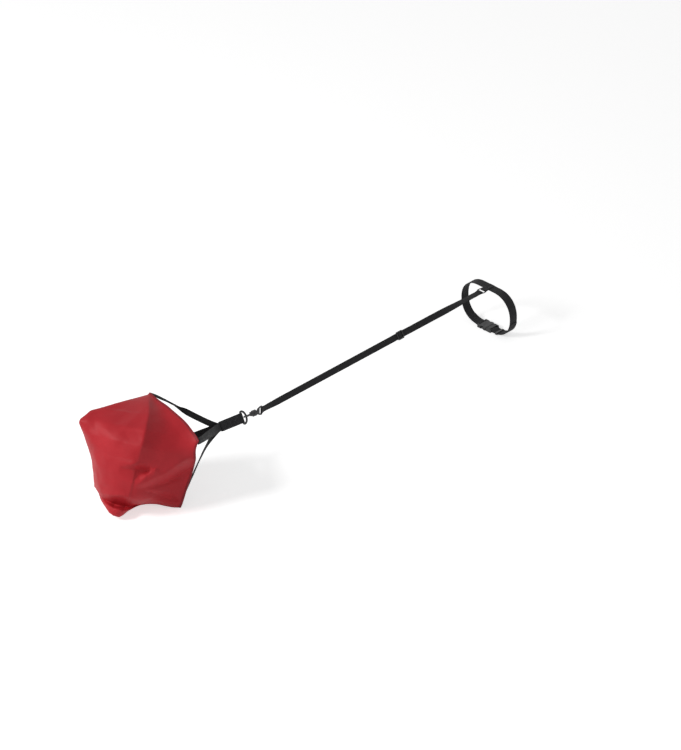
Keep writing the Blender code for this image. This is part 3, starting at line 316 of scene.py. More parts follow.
# Cloth. Its cut is taken as a cross of five squares. The seams are drawn at three of the
# corners, because the photograph shows smooth cloth at the near one.
CLOTH_WALL = 0.0008
CORNER_NAMES = ("top", "near", "low", "far")
SEWN_CORNERS = (0, 2, 3)
SEAT_SUBDIVISIONS = 2
CANOPY_SUBDIVISIONS = 5
COLUMNS_BETWEEN_CORNERS = 2 * 2 ** CANOPY_SUBDIVISIONS
SEAM_RINGS = CANOPY_LEVELS * 2 ** CANOPY_SUBDIVISIONS - 1

# The hem's tape: its size, how much of its thickness is left at its lip, and where its
# rows of stitches lie, as shares of its width
HEM_WIDTH = 0.010
HEM_TAPE = 0.0006
HEM_STEPS = 4
HEM_LIP = 0.2
HEM_STITCHING = (0.2, 0.85)

# The seams: how many rings of the cloth they start behind the mouth, their size, where
# their shoulders lie as a share of the half width, and how high their middle and their
# stitches lie over the cloth as shares of the thickness
SEAM_START = 3
SEAM_HALF_WIDTH = 0.0042
SEAM_SHOULDER = 0.55
SEAM_TAPE = 0.0010
SEAM_RISE = 0.3
SEAM_TOP = 0.8

# The least height of the cloth, which leaves room for a seam and its thread over the floor
SEAM_ROOM = 0.0014

# Thread, and the rings of one stitch: where along it, how thick and how high, the last
# two in radii of the thread
THREAD_RADIUS = 0.00042
STITCH = 0.0027
STITCH_PITCH = 0.0038
STITCH_SIDES = 6
STITCH_RINGS = ((0.0, 0.5, -0.9), (0.2, 1.0, 0.1), (0.8, 1.0, 0.1), (1.0, 0.5, -0.9))
STITCH_SAMPLES = 12

# Sewn boxes: from where to where along their webbing, and half their width as a share of
# the webbing's. A tack lies between the collar's two boxes.
COLLAR_BOXES = ((0.020, 0.050), (0.062, 0.092))
COLLAR_TACK_AT = 0.056
TACK_PITCH = 0.0012
HOOK_BOX = (0.020, SEWN_LAP - 0.005)
SLIDER_BOX = (SLIDER_AT + 0.024, SLIDER_AT + SEWN_LAP - 0.004)
BELT_END_BOX = (SOCKET_BAR_AT + 0.022, SOCKET_BAR_AT + SEWN_LAP - 0.004)
WIDE_BOX = 0.36
NARROW_BOX = 0.34


# Camera and photograph

def camera_axes():
    """The camera's right, up and backward directions."""
    flat = math.cos(CAMERA_ELEVATION)
    back = Vector((math.sin(CAMERA_AZIMUTH) * flat, -math.cos(CAMERA_AZIMUTH) * flat,
                   math.sin(CAMERA_ELEVATION)))
    right = Vector((math.cos(CAMERA_AZIMUTH), math.sin(CAMERA_AZIMUTH), 0.0))
    return right, back.cross(right), back


RIGHT, UP, BACK = camera_axes()


def to_pixel(point):
    """Where a point of the world falls in the photograph."""
    away = point - ANCHOR
    return Vector((ANCHOR_PIXEL[0] + away.dot(RIGHT) * PIXELS_PER_METRE,
                   ANCHOR_PIXEL[1] - away.dot(UP) * PIXELS_PER_METRE))


def make_camera():
    """The photograph's view, from so far away that nothing shrinks with its distance."""
    data = bpy.data.cameras.new("photo_camera")
    data.sensor_width = CAMERA_SENSOR
    data.lens = CAMERA_SENSOR * CAMERA_DISTANCE * PIXELS_PER_METRE / PHOTO_HEIGHT
    data.clip_end = CAMERA_DISTANCE * 2
    camera = bpy.data.objects.new("photo_camera", data)
    bpy.context.scene.collection.objects.link(camera)
    across = (PHOTO_WIDTH / 2 - ANCHOR_PIXEL[0]) / PIXELS_PER_METRE
    down = (PHOTO_HEIGHT / 2 - ANCHOR_PIXEL[1]) / PIXELS_PER_METRE
    target = ANCHOR + RIGHT * across - UP * down
    camera.location = target + BACK * CAMERA_DISTANCE
    camera.rotation_euler = (-BACK).to_track_quat("-Z", "Y").to_euler()
    bpy.context.scene.camera = camera


# Helpers

def smoothstep(low, high, value):
    """0 below low, 1 above high and smooth between them."""
    share = min(max((value - low) / (high - low), 0.0), 1.0)
    return share * share * (3.0 - 2.0 * share)


def spread(first, last, count):
    """count + 1 numbers from first to last, evenly spaced."""
    return [first + (last - first) * k / count for k in range(count + 1)]


def bend(centre, radius, start, end):
    """Points on an arc of webbing round a bar, the angles in degrees."""
    return [(centre[0] + radius * math.cos(math.radians(a)),
             centre[1] + radius * math.sin(math.radians(a)))
            for a in spread(start, end, BEND_STEPS)]


def length_of(points):
    """The length of the line through some points."""
    return sum((b - a).length for a, b in zip(points, points[1:]))


def link(name, mesh, surface, body):
    """A named piece of the scene, in the part's frame, riding on one of its bodies."""
    made = bpy.data.objects.new(name, mesh)
    bpy.context.scene.collection.objects.link(made)
    mesh.materials.clear()
    mesh.materials.append(surface)
    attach(made, body)
    return made


def evaluated_mesh(holder):
    """The mesh of an object with its modifiers."""
    bpy.context.view_layer.update()
    graph = bpy.context.evaluated_depsgraph_get()
    return bpy.data.meshes.new_from_object(holder.evaluated_get(graph), depsgraph=graph)


def turn_outwards(shape, mesh):
    """Put a shape into a mesh with all its faces turned outwards."""
    bmesh.ops.recalc_face_normals(shape, faces=shape.faces)
    shape.to_mesh(mesh)
    shape.free()


def smooth_mesh(name, points, faces):
    """A smooth mesh from points and faces."""
    mesh = bpy.data.meshes.new(name)
    mesh.from_pydata(points, [], faces)
    shape = bmesh.new()
    shape.from_mesh(mesh)
    turn_outwards(shape, mesh)
    mesh.shade_smooth()
    return mesh


# Node materials

class Graph:
    """A node tree, all of whose new nodes come from one method."""

    def __init__(self, tree):
        self.tree = tree

    def node(self, kind, settings=None, sockets=None, output=0):
        """One output of a new node, whose settings are set before its sockets."""
        made = self.tree.nodes.new(kind)
        for name, value in (settings or {}).items():
            setattr(made, name, value)
        for name, value in (sockets or {}).items():
            self.join(value, made.inputs[name])
        return Wire(self, made.outputs[output])

    def join(self, value, place):
        """Link a wire to a socket, or set the socket to a plain value."""
        if isinstance(value, Wire):
            self.tree.links.new(value.socket, place)
        else:
            place.default_value = value


class Wire:
    """A node's output that takes part in sums and products."""

    def __init__(self, graph, socket):
        self.graph = graph
        self.socket = socket

    def math(self, operation, *others):
        """The result of one Math node."""
        return self.graph.node("ShaderNodeMath", {"operation": operation},
                               dict(enumerate((self, *others))))

    def __add__(self, other):
        return self.math("ADD", other)

    def __mul__(self, other):
        return self.math("MULTIPLY", other)

    def __rsub__(self, other):
        return self * -1.0 + other

    def __abs__(self):
        return self.math("ABSOLUTE")

    __radd__ = __add__
    __rmul__ = __mul__

    def ramp(self, low, high, start=0.0, end=1.0):
        """start below low, end above high and smooth between them."""
        return self.graph.node("ShaderNodeMapRange", {"interpolation_type": "SMOOTHSTEP"},
                               dict(enumerate((self, low, high, start, end))))

    def beside(self, output):
        """Another output of the same node."""
        return Wire(self.graph, self.socket.node.outputs[output])


class Surface(Graph):
    """A node material around one Principled shader."""

    def __init__(self, name):
        self.material = bpy.data.materials.new(name)
        self.material.use_nodes = True
        super().__init__(self.material.node_tree)
        self.shader = self.tree.nodes["Principled BSDF"]

    def put(self, **values):
        """Set or join the shader's sockets, named with _ for each space."""
        for name, value in values.items():
            self.join(value, self.shader.inputs[name.replace("_", " ")])

    def place(self):
        """The point of the piece at rest, in metres."""
        return self.node("ShaderNodeTexCoord", output="Object")

    def noise(self, scale, detail, roughness=0.5):
        """Soft spots all over the piece."""
        sockets = {"Vector": self.place(), "Scale": scale, "Detail": detail,
                   "Roughness": roughness}
        return self.node("ShaderNodeTexNoise", sockets=sockets, output="Fac")

    def split(self, vector):
        """The three parts of a vector."""
        first = self.node("ShaderNodeSeparateXYZ", sockets={0: vector})
        return [first, first.beside(1), first.beside(2)]

    def lay(self):
        """How far along the webbing and how far across it, in metres."""
        along, across, _ = self.split(self.node("ShaderNodeUVMap", {"uv_map": "lay"}))
        return along, across

    def blend(self, share, first, second):
        """A colour between two, by a share that varies."""
        return self.node("ShaderNodeMix", {"data_type": "RGBA"},
                         {0: share, 6: (*first, 1.0), 7: (*second, 1.0)}, 2)

    def bump(self, height, distance, strength, under=None):
        """Low relief, laid over another one where that is given."""
        sockets = {"Strength": strength, "Distance": distance, "Height": height}
        if under:
            sockets["Normal"] = under
        return self.node("ShaderNodeBump", sockets=sockets)


def nylon_surface(name, dark, light):
    """Coated nylon: a fine weave, soft crumples and a low sheen."""
    made = Surface(name)
    x, y, z = made.split(made.place())
    fade = made.noise(NYLON_FADE, 4.0)
    colour = made.blend(fade.ramp(0.3, 0.7), dark, light)
    crumple = made.noise(NYLON_CRUMPLE, 5.0, 0.6)
    weave = ((x * NYLON_WEAVE).math("SINE") * (y * NYLON_WEAVE).math("SINE")
             * (z * NYLON_WEAVE).math("COSINE"))
    soft = made.bump(crumple, CRUMPLE_HEIGHT, 0.5)
    made.put(Base_Color=colour, Roughness=fade.ramp(0.2, 0.8, 0.50, 0.62),
             Normal=made.bump(weave, WEAVE_HEIGHT, 0.5, soft))
    made.put(Specular_IOR_Level=0.25)
    return made.material


def webbing_surface(name, width):
    """Woven nylon webbing: ribs across it, a slanted twill and plain edges."""
    made = Surface(name)
    along, across = made.lay()
    rib = (along * (2 * math.pi / RIB_PITCH)).math("SINE")
    twill = ((along + abs(across) * 1.1) * (2 * math.pi / TWILL_PITCH)).math("SINE")
    edge = abs(across).ramp(width * 0.42, width * 0.47)
    height = rib * (edge * 0.5 + 0.25) + twill * ((1.0 - edge) * 0.8)
    wear = made.noise(WEBBING_WEAR, 4.0)
    share = height * 0.2 + wear * 0.7
    made.put(Base_Color=made.blend(share.ramp(0.1, 0.8), WEB_DARK, WEB_LIGHT),
             Roughness=wear.ramp(0.2, 0.8, 0.62, 0.8),
             Normal=made.bump(height, RIB_HEIGHT, 0.9))
    made.put(Sheen_Weight=0.03, Sheen_Roughness=0.5, Specular_IOR_Level=0.24)
    return made.material


def moulding_surface(name, colour, rough):
    """Moulded plastic: a fine grain with paler rubbed edges."""
    made = Surface(name)
    grain = made.noise(PLASTIC_GRAIN, 2.0)
    handled = made.noise(PLASTIC_WEAR, 4.0)
    edge = made.node("ShaderNodeNewGeometry", output="Pointiness").ramp(0.52, 0.60)
    pale = tuple(part * 3.0 + 0.02 for part in colour)
    made.put(Base_Color=made.blend(edge * 0.55 + handled * 0.12, colour, pale),
             Roughness=handled.ramp(0.25, 0.75, rough - 0.07, rough + 0.1),
             Normal=made.bump(grain, GRAIN_HEIGHT, 0.5))
    return made.material


def pin_surface():
    """Plain steel with fine drawn lines."""
    made = Surface("drawn_steel")
    _, _, z = made.split(made.place())
    lines = made.noise(STEEL_LINES, 3.0)
    made.put(Base_Color=made.blend(lines, STEEL_DARK, STEEL_LIGHT),
             Roughness=lines.ramp(0.2, 0.8, 0.25, 0.42),
             Normal=made.bump((z * STEEL_DRAWING).math("SINE"), DRAWING_HEIGHT, 0.4))
    made.put(Metallic=1.0)
    return made.material


def thread_surface(name, colour):
    """Twisted sewing thread."""
    made = Surface(name)
    twist = made.noise(THREAD_TWIST, 2.0)
    pale = tuple(min(part * 1.6 + 0.01, 1.0) for part in colour)
    made.put(Base_Color=made.blend(twist, colour, pale), Roughness=twist.ramp(0.2, 0.8, 0.5, 0.7),
             Normal=made.bump(twist, TWIST_HEIGHT, 0.6))
    return made.material


# Straps

def row_normals(rows):
    """The direction out of the webbing at each point of its rows."""
    normals = []
    for k, row in enumerate(rows):
        before = rows[max(k - 1, 0)]
        after = rows[min(k + 1, len(rows) - 1)]
        line = []
        for j in range(len(row)):
            along = after[j] - before[j]
            across = row[min(j + 1, len(row) - 1)] - row[max(j - 1, 0)]
            line.append(along.cross(across).normalized())
        normals.append(line)
    return normals


def half_thickness(reach, width, thickness):
    """Half the webbing's thickness at a place across it, with round edges."""
    past = max(0.0, (abs(reach) - width / 2 + thickness / 2) / (thickness / 2))
    return thickness / 2 * max(math.sqrt(max(0.0, 1.0 - past ** 2)), EDGE_SHARE)


def row_outline(row, normals, thickness):
    """The webbing's outline at one row, each point with its place across."""
    width = length_of(row)
    reach = -width / 2
    top = []
    bottom = []
    for j, (point, out) in enumerate(zip(row, normals)):
        if j:
            reach += (point - row[j - 1]).length
        half = half_thickness(reach, width, thickness)
        top.append((point + out * half, reach))
        bottom.append((point - out * half, reach))
    return top + bottom[::-1]


def strap_mesh(name, rows, thickness):
    """Webbing from rows of points across it, with round edges and a lay map. Each row
    runs from one edge to the other, and the rows follow the webbing's length."""
    middle = len(rows[0]) // 2
    distance = [0.0]
    for first, second in zip(rows, rows[1:]):
        distance.append(distance[-1] + (second[middle] - first[middle]).length)
    outlines = [row_outline(row, normals, thickness)
                for row, normals in zip(rows, row_normals(rows))]
    shape = bmesh.new()
    lay = shape.loops.layers.uv.new("lay")
    rings = [[shape.verts.new(point) for point, _ in outline] for outline in outlines]

    def face(corners):
        made = shape.faces.new([rings[r][c] for r, c in corners])
        made.smooth = True
        for loop, (r, c) in zip(made.loops, corners):
            loop[lay].uv = (distance[r], outlines[r][c][1])

    size = len(rings[0])
    last = len(rings) - 1
    for r in range(last):
        for c in range(size):
            d = (c + 1) % size
            face(((r, c), (r, d), (r + 1, d), (r + 1, c)))
    for r in (0, last):
        for c in range(size // 2 - 1):
            corners = [(r, c), (r, c + 1), (r, size - 2 - c), (r, size - 1 - c)]
            face(corners if r else corners[::-1])
    mesh = bpy.data.meshes.new(name)
    turn_outwards(shape, mesh)
    mesh.set_sharp_from_angle(angle=SHARP_ANGLE)
    return mesh


def across_points(width, thickness):
    """Places across a strap, close together at its round edges."""
    edge = width / 2
    rim = [edge - thickness * share for share in RIM_SHARES]
    inner = spread(edge - thickness, -edge + thickness, ACROSS_STEPS)
    return [-x for x in rim] + [-x for x in inner] + rim[::-1]


def path_rows(path, width, thickness, carry):
    """The rows of a strap that follows a path in its own plane."""
    return [[carry(along, off, across) for across in across_points(width, thickness)]
            for along, off in path]


def link_strap(name, rows, thickness, surface, body):
    """A piece of webbing in the scene."""
    return link(name, strap_mesh(name, rows, thickness), surface, body)


# Stitches

def stitches_along(line):
    """Stitches along a line of points and outward directions."""
    reach = [0.0]
    for (first, _), (second, _) in zip(line, line[1:]):
        reach.append(reach[-1] + (second - first).length)

    def at(distance):
        k = min(max(bisect.bisect_right(reach, distance) - 1, 0), len(line) - 2)
        share = (distance - reach[k]) / max(reach[k + 1] - reach[k], THREAD_RADIUS / 100)
        return line[k][0].lerp(line[k + 1][0], share), line[k][1]

    count = int(reach[-1] / STITCH_PITCH)
    made = []
    for k in range(count):
        start, out = at(k * STITCH_PITCH)
        end, _ = at(k * STITCH_PITCH + STITCH)
        made.append((start, end, out))
    return made


def thread_mesh(name, stitches):
    """Short raised lengths of thread that dip into the cloth at both ends."""
    angles = [2 * math.pi * k / STITCH_SIDES for k in range(STITCH_SIDES)]
    last = (len(STITCH_RINGS) - 1) * STITCH_SIDES
    points = []
    faces = []
    for start, end, out in stitches:
        side = (end - start).cross(out).normalized()
        base = len(points)
        for share, size, lift in STITCH_RINGS:
            centre = start.lerp(end, share) + out * THREAD_RADIUS * lift
            for turn in angles:
                off = side * math.cos(turn) + out * math.sin(turn)
                points.append(centre + off * THREAD_RADIUS * size)
        for here in range(base, base + last, STITCH_SIDES):
            for k in range(STITCH_SIDES):
                after = (k + 1) % STITCH_SIDES
                faces.append((here + k, here + after, here + STITCH_SIDES + after,
                              here + STITCH_SIDES + k))
        faces.append(tuple(base + k for k in reversed(range(STITCH_SIDES))))
        faces.append(tuple(base + last + k for k in range(STITCH_SIDES)))
    return smooth_mesh(name, points, faces)


def carried_stitches(line, carry, off):
    """Stitches on webbing: a line of places along and across it, off its middle plane."""
    placed = []
    for (along, across), (next_along, next_across) in zip(line, line[1:]):
        for share in spread(0.0, 1.0, STITCH_SAMPLES)[:-1]:
            a = along + (next_along - along) * share
            c = across + (next_across - across) * share
            level = off(a)
            out = carry(a, level + math.copysign(GAP, level), c) - carry(a, level, c)
            placed.append((carry(a, level, c), out.normalized()))
    return stitches_along(placed)


def box_with_cross(start, end, half):
    """The lines of a sewn box and of the cross in it."""
    box = [(start, -half), (end, -half), (end, half), (start, half), (start, -half)]
    return [box, [(start, -half), (end, half)], [(start, half), (end, -half)]]


def bar_tack(at, half):
    """Three close lines across the webbing."""
    return [[(at + step, -half), (at + step, half)] for step in (-TACK_PITCH, 0.0, TACK_PITCH)]


def sew(name, lines, carry, faces, surface, body):
    """A piece of stitching on one or both faces of some webbing."""
    stitches = [stitch for face in faces for line in lines
                for stitch in carried_stitches(line, carry, face)]
    link(name, thread_mesh(name, stitches), surface, body)


def face_at(middle, thickness, side):
    """The outer face of webbing that lies off a middle plane."""
    return lambda along: middle(along) + side * thickness / 2


# Waist belt

def belt_line():
    """The belt's middle line in Y and Z, from the bottom centre round by +Y."""
    middle = (AXIS_HEIGHT + BUCKLE_MIDDLE) / 2
    half_height = AXIS_HEIGHT - middle
    half_width = BELT_HALF_WIDTH - BELT_FLAT
    line = [Vector((0.0, middle - half_height))]
    power = 2.0 / BELT_ROUNDNESS
    for side, start in ((1, -90), (-1, 90)):
        for angle in spread(start, start + 180, OVAL_STEPS):
            across = math.cos(math.radians(angle))
            up = math.sin(math.radians(angle))
            y = side * BELT_FLAT + math.copysign(abs(across) ** power, across) * half_width
            z = middle + math.copysign(abs(up) ** power, up) * half_height
            line.append(Vector((y, z)))
    line.append(line[0])
    return line


def along_line(line, distance):
    """The point at a distance along a line and the outward direction there."""
    for first, second in zip(line, line[1:]):
        step = (second - first).length
        if distance <= step or second is line[-1]:
            direction = (second - first).normalized()
            return first + direction * distance, Vector((direction.y, -direction.x))
        distance -= step


def belt_point(line, distance, off):
    """A point off the belt's line, at a distance along it."""
    place, outward = along_line(line, distance)
    return place + outward * off


def belt_lap(run):
    """How far a lap lies off the belt's line, at a distance from its bar."""
    return BELT_TURN + (BELT_LAYER - BELT_TURN) * smoothstep(0.0, TURN_RUN_OUT, run)


def belt_path(line):
    """A sewn end inside the belt, the socket's bar, the way round the waist, the
    plug's bar and the free tail outside the belt."""
    start = SOCKET_BAR_AT
    end = length_of(line) + PLUG_BAR_AT
    path = [belt_point(line, start + run, -belt_lap(run))
            for run in spread(SEWN_LAP, 0.0, BELT_LAP_STEPS)]
    path += bend((start, BUCKLE_MIDDLE), BELT_TURN, *NEAR_BEND)
    for distance in spread(start, end, WAIST_STEPS):
        off = BELT_TURN * (1.0 - smoothstep(start, start + TURN_RUN_OUT, distance))
        off -= BELT_TURN * smoothstep(end - TURN_RUN_OUT, end, distance)
        path.append(belt_point(line, distance, off))
    path += bend((PLUG_BAR_AT, BUCKLE_MIDDLE), BELT_TURN, *FAR_BEND)
    return path + [belt_point(line, end - run, belt_lap(run))
                   for run in spread(0.0, BELT_TAIL, BELT_TAIL_STEPS)]


def make_belt(surface):
    """One length of webbing round the waist, turned round both of the buckle's bars."""
    rows = path_rows(belt_path(belt_line()), BELT_WIDTH, BELT_THICKNESS,
                     lambda y, z, across: Vector((across, y, z)))
    piece = link_strap("belt_webbing", rows, BELT_THICKNESS, surface, "belt")
    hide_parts("belt_strap")


def tab_carry(x, off, across):
    """A place on the tab: along it, off its middle plane and across it."""
    return Vector((x, across, AXIS_HEIGHT + off))


def make_ring_tab(surface):
    """Webbing that lies flat on both faces of the belt and is drawn to the ring's bar."""
    near = BELT_THICKNESS / 2 + GAP + TETHER_THICKNESS / 2
    side = []
    for x in spread(BELT_WIDTH / 2 - BELT_THICKNESS, RING_BAR_X, TAB_STEPS):
        side.append((x, near + (RING_TURN - near) * smoothstep(BELT_WIDTH / 2, -RING_BAR_X, -x)))
    path = side + bend((RING_BAR_X, 0.0), RING_TURN, *NEAR_BEND)
    path += [(x, -off) for x, off in reversed(side)]
    rows = path_rows(path, TETHER_WIDTH, TETHER_THICKNESS, tab_carry)
    piece = link_strap("ring_tab_webbing", rows, TETHER_THICKNESS, surface, "belt")
    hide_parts("ring_tab")


# Tether

def tether_roll(along):
    """The webbing's roll about X at a distance from the hook."""
    roll = TETHER_HOOK_ROLL
    roll += (TETHER_MID_ROLL - TETHER_HOOK_ROLL) * smoothstep(*TWIST_FROM_HOOK, along)
    left = TETHER_LENGTH - along
    return roll + (TETHER_BELT_ROLL - TETHER_MID_ROLL) * (1.0 - smoothstep(*TWIST_FROM_BELT, left))


def tether_carry(along, off, across):
    """A place on the tether: along it from the hook, off its middle and across it."""
    roll = tether_roll(along)
    y = across * math.cos(roll) - off * math.sin(roll)
    z = across * math.sin(roll) + off * math.cos(roll)
    return Vector((EYE_X + along, y, AXIS_HEIGHT + z))


def main_offset(along):
    """How far the tether's long run stands off its middle line."""
    off = EYE_TURN * (1.0 - smoothstep(0.0, TURN_RUN_OUT, along))
    off += RING_TURN * smoothstep(TETHER_LENGTH - TURN_RUN_OUT, TETHER_LENGTH, along)
    reach = abs(along - SLIDER_AT)
    if reach <= SLIDER_PITCH:
        fall = smoothstep(SLIDER_FLAT, WEAVE_END, reach)
        return WEAVE_TOP - (WEAVE_TOP + WEAVE_LOW) * fall
    return off - WEAVE_LOW * (1.0 - smoothstep(SLIDER_PITCH, SLIDER_PITCH + SLIDER_RUN_OUT, reach))


def return_offset(along):
    """The lap that comes back from the belt ring lies a layer below the long run."""
    small = SLIDER_BAR / 10
    slope = (main_offset(along + small) - main_offset(along - small)) / (2 * small)
    near_ring = smoothstep(TETHER_LENGTH - TURN_RUN_OUT, TETHER_LENGTH, along)
    free = main_offset(along) - TETHER_LAYER * math.hypot(1.0, slope)
    return free * (1.0 - near_ring) - RING_TURN * near_ring


def tail_offset(along):
    """The sewn end at the slider lies a layer below the lap."""
    under = WEAVE_LOW + 2 * TETHER_LAYER
    share = smoothstep(0.0, TAIL_DROP, along - SLIDER_AT)
    past = smoothstep(SLIDER_PITCH, SLIDER_PITCH + SLIDER_RUN_OUT, along - SLIDER_AT)
    return -SLIDER_TURN - (under - SLIDER_TURN) * share + WEAVE_LOW * past


def hook_lap(along):
    """The sewn end at the hook, drawn in from the eye to a layer below the long run."""
    near = 1.0 - smoothstep(0.0, TURN_RUN_OUT, along)
    return -EYE_TURN * near - TETHER_LAYER * (1.0 - near)


def tether_path():
    """The webbing from the end sewn at the hook to the end sewn at the slider."""
    slider_start = SLIDER_AT - SLIDER_PITCH
    slider_end = SLIDER_AT + SLIDER_PITCH
    path = [(along, hook_lap(along)) for along in spread(SEWN_LAP, 0.0, HOOK_LAP_STEPS)]
    path += bend((0.0, 0.0), EYE_TURN, *NEAR_BEND[::-1])
    stations = spread(0.0, DRAWN_IN, DRAWN_STEPS)
    stations += spread(PLAIN_FROM, slider_start - SLIDER_RUN_OUT, LONG_RUN_STEPS)
    stations += spread(slider_start - SLIDER_RUN_IN, slider_start, RUN_IN_STEPS)
    stations += spread(slider_start, slider_end, WEAVE_STEPS)[1:]
    beyond = spread(slider_end, slider_end + SLIDER_RUN_OUT, RUN_OUT_STEPS)[1:]
    beyond += spread(SLIDER_AT + PLAIN_AFTER_SLIDER, TETHER_LENGTH - PLAIN_TO_RING,
                     SHORT_RUN_STEPS)
    beyond += spread(TETHER_LENGTH - DRAWN_IN, TETHER_LENGTH, DRAWN_STEPS)
    path += [(along, main_offset(along)) for along in stations + beyond]
    path += bend((TETHER_LENGTH, 0.0), RING_TURN, *FAR_BEND)
    back = beyond[::-1] + spread(SLIDER_AT + GAP, slider_end, WEAVE_STEPS // 2)[::-1]
    path += [(along, return_offset(along)) for along in back]
    path += bend((SLIDER_AT, 0.0), SLIDER_TURN, *NEAR_BEND)
    tail = spread(SLIDER_AT, slider_end, RUN_OUT_STEPS)
    tail += spread(slider_end, SLIDER_AT + SEWN_LAP, RUN_OUT_STEPS)[1:]
    return path + [(along, tail_offset(along)) for along in tail]


def make_tether(surface):
    """One length of webbing from the eye to the belt ring and back to the slider."""
    rows = path_rows(tether_path(), TETHER_WIDTH, TETHER_THICKNESS, tether_carry)
    piece = link_strap("tether_webbing", rows, TETHER_THICKNESS, surface, "tether")
    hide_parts("tether_strap")


# Bridle

BRIDLE = (Matrix.Translation((EYE_X, 0.0, AXIS_HEIGHT)) @ Matrix.Rotation(DROGUE_YAW, 4, "Z")
          @ Matrix.Translation((-EYE_REACH, 0.0, 0.0)) @ Matrix.Rotation(HITCH_ROLL, 4, "X")
          @ Matrix.Translation((-HOOK_REACH - DEE_DEPTH, 0.0, 0.0)))
MOUTH_IN_BRIDLE = (Matrix.Rotation(-HITCH_ROLL, 4, "X")
                   @ Matrix.Translation((-BRIDLE_LENGTH, 0.0, 0.0))
                   @ Matrix.Rotation(MOUTH_YAW, 4, "Z") @ Matrix.Rotation(MOUTH_PITCH, 4, "Y"))
MOUTH = BRIDLE @ MOUTH_IN_BRIDLE


def collar_carry(x, off, across):
    """A place on the collar: along it, off its middle plane and across it."""
    return BRIDLE @ Vector((x, off, across))


def collar_offset(run):
    """How far the collar's webbing lies off its middle, at a distance from the bar."""
    return COLLAR_LAY + (COLLAR_TURN - COLLAR_LAY) * (1.0 - smoothstep(0.0, TURN_RUN_OUT, run))


def make_collar(surface):
    """Webbing folded round the D-ring's bar, with the four leg ends in it."""
    side = [(-run, collar_offset(run)) for run in spread(COLLAR_LENGTH, 0.0, COLLAR_STEPS)]
    path = side + bend((0.0, 0.0), COLLAR_TURN, *FAR_BEND)
    path += [(x, -off) for x, off in reversed(side)]
    rows = path_rows(path, COLLAR_WIDTH, COLLAR_THICKNESS, collar_carry)
    piece = link_strap("collar_webbing", rows, COLLAR_THICKNESS, surface, "canopy")
    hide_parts("bridle_collar")


def corner_directions():
    """The directions from the mouth's centre to its corners, in the mouth's frame."""
    top = Vector((0.0, math.sin(MOUTH_ROLL), math.cos(MOUTH_ROLL)))
    quarter = Matrix.Rotation(math.radians(90), 3, "X")
    near = quarter @ top
    low = quarter @ near
    return [top, near, low, quarter @ low]


def leg_seat(tree, direction, side_of, deep, lateral):
    """A point of a leg that lies along the inside of one corner of the canopy."""
    along_panel = abs(lateral) / math.sqrt(2.0)
    target = direction * (MOUTH_DIAGONAL / 2 - along_panel) + side_of * lateral / math.sqrt(2.0)
    hit, normal, _, _ = tree.ray_cast(Vector((-deep, 0.0, 0.0)), target.normalized())
    if normal.dot(target) > 0:
        normal = -normal
    return hit + normal * (SEAT_GAP + LEG_THICKNESS / 2)


def hermite(start, start_pull, end, end_pull, share):
    """A point on the smooth curve that leaves one point and reaches another."""
    a = 2 * share ** 3 - 3 * share ** 2 + 1
    b = share ** 3 - 2 * share ** 2 + share
    c = -2 * share ** 3 + 3 * share ** 2
    d = share ** 3 - share ** 2
    return start * a + start_pull * b + end * c + end_pull * d


def leg_turn(turns, share):
    """The extra turn at a share of the free run, smooth between the given ones."""
    for (start, first), (end, second) in zip(turns, turns[1:]):
        if share <= end:
            return math.radians(first + (second - first) * smoothstep(start, end, share))
    return 0.0


def leg_seats(tree, direction, columns):
    """The rows of the end of a leg that lies in a corner of the canopy."""
    side_of = Vector((1.0, 0.0, 0.0)).cross(direction)
    if (MOUTH_IN_BRIDLE.to_3x3() @ side_of).z < 0:
        side_of = -side_of
    return [[MOUTH_IN_BRIDLE @ leg_seat(tree, direction, side_of, deep, column)
             for column in columns] for deep in spread(SEAT_START, LEG_SEAT, SEAT_STEPS)]


def turned_row(row, before, angle):
    """A row of a leg at its true width, turned about the leg's own length."""
    centre = (row[0] + row[-1]) / 2
    wider = LEG_WIDTH / length_of(row)
    turn = Matrix.Rotation(angle, 3, centre - (before[0] + before[-1]) / 2)
    return [centre + turn @ (point - centre) * wider for point in row]


def make_leg(name, layer, direction, slack, tree, surface):
    """One leg: a flat end in the collar, a free run that turns as it goes, and an end
    that lies in the corner of the canopy, whose stitches it gives back."""
    columns = across_points(LEG_WIDTH, LEG_THICKNESS)
    off = (layer - MIDDLE_LAYER) * LEG_LAYER
    rows = [[Vector((x, off, column)) for column in columns]
            for x in spread(-COLLAR_LENGTH + LEG_TAB, -COLLAR_LENGTH, LEG_TAB_STEPS)]
    seats = leg_seats(tree, direction, columns)
    start_pull = Vector((-slack, 0.0, 0.0))
    end_pulls = [(second - first).normalized() * LEG_ENTRY
                 for first, second in zip(seats[0], seats[1])]
    run_start = rows[-1]
    for share in spread(0.0, 1.0, LEG_STEPS)[1:-1]:
        row = [hermite(start, start_pull, end, end_pull, share)
               for start, end, end_pull in zip(run_start, seats[0], end_pulls)]
        rows.append(turned_row(row, rows[-1], leg_turn(LEG_TURNS[name], share)))
    seats = [[BRIDLE @ point for point in row] for row in seats]
    rows = [[BRIDLE @ point for point in row] for row in rows] + seats
    piece = link_strap(name + "_webbing", rows, LEG_THICKNESS, surface, "canopy")
    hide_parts(name)
    return end_stitches(seats)


def end_stitches(rows):
    """Stitches round the end of a leg, on both of its faces."""
    grid = []
    for before, row, after in zip(rows, rows[1:], rows[2:]):
        line = []
        for j in range(UNSEWN_EDGE, len(row) - UNSEWN_EDGE):
            out = (after[j] - before[j]).cross(row[j + 1] - row[j - 1]).normalized()
            line.append((row[j], out))
        grid.append(line)
    stitches = []
    for path in (grid[0], grid[-1], [line[0] for line in grid], [line[-1] for line in grid]):
        for side in (1.0, -1.0):
            stitches += stitches_along([(point + out * side * LEG_THICKNESS / 2, out * side)
                                        for point, out in path])
    return stitches


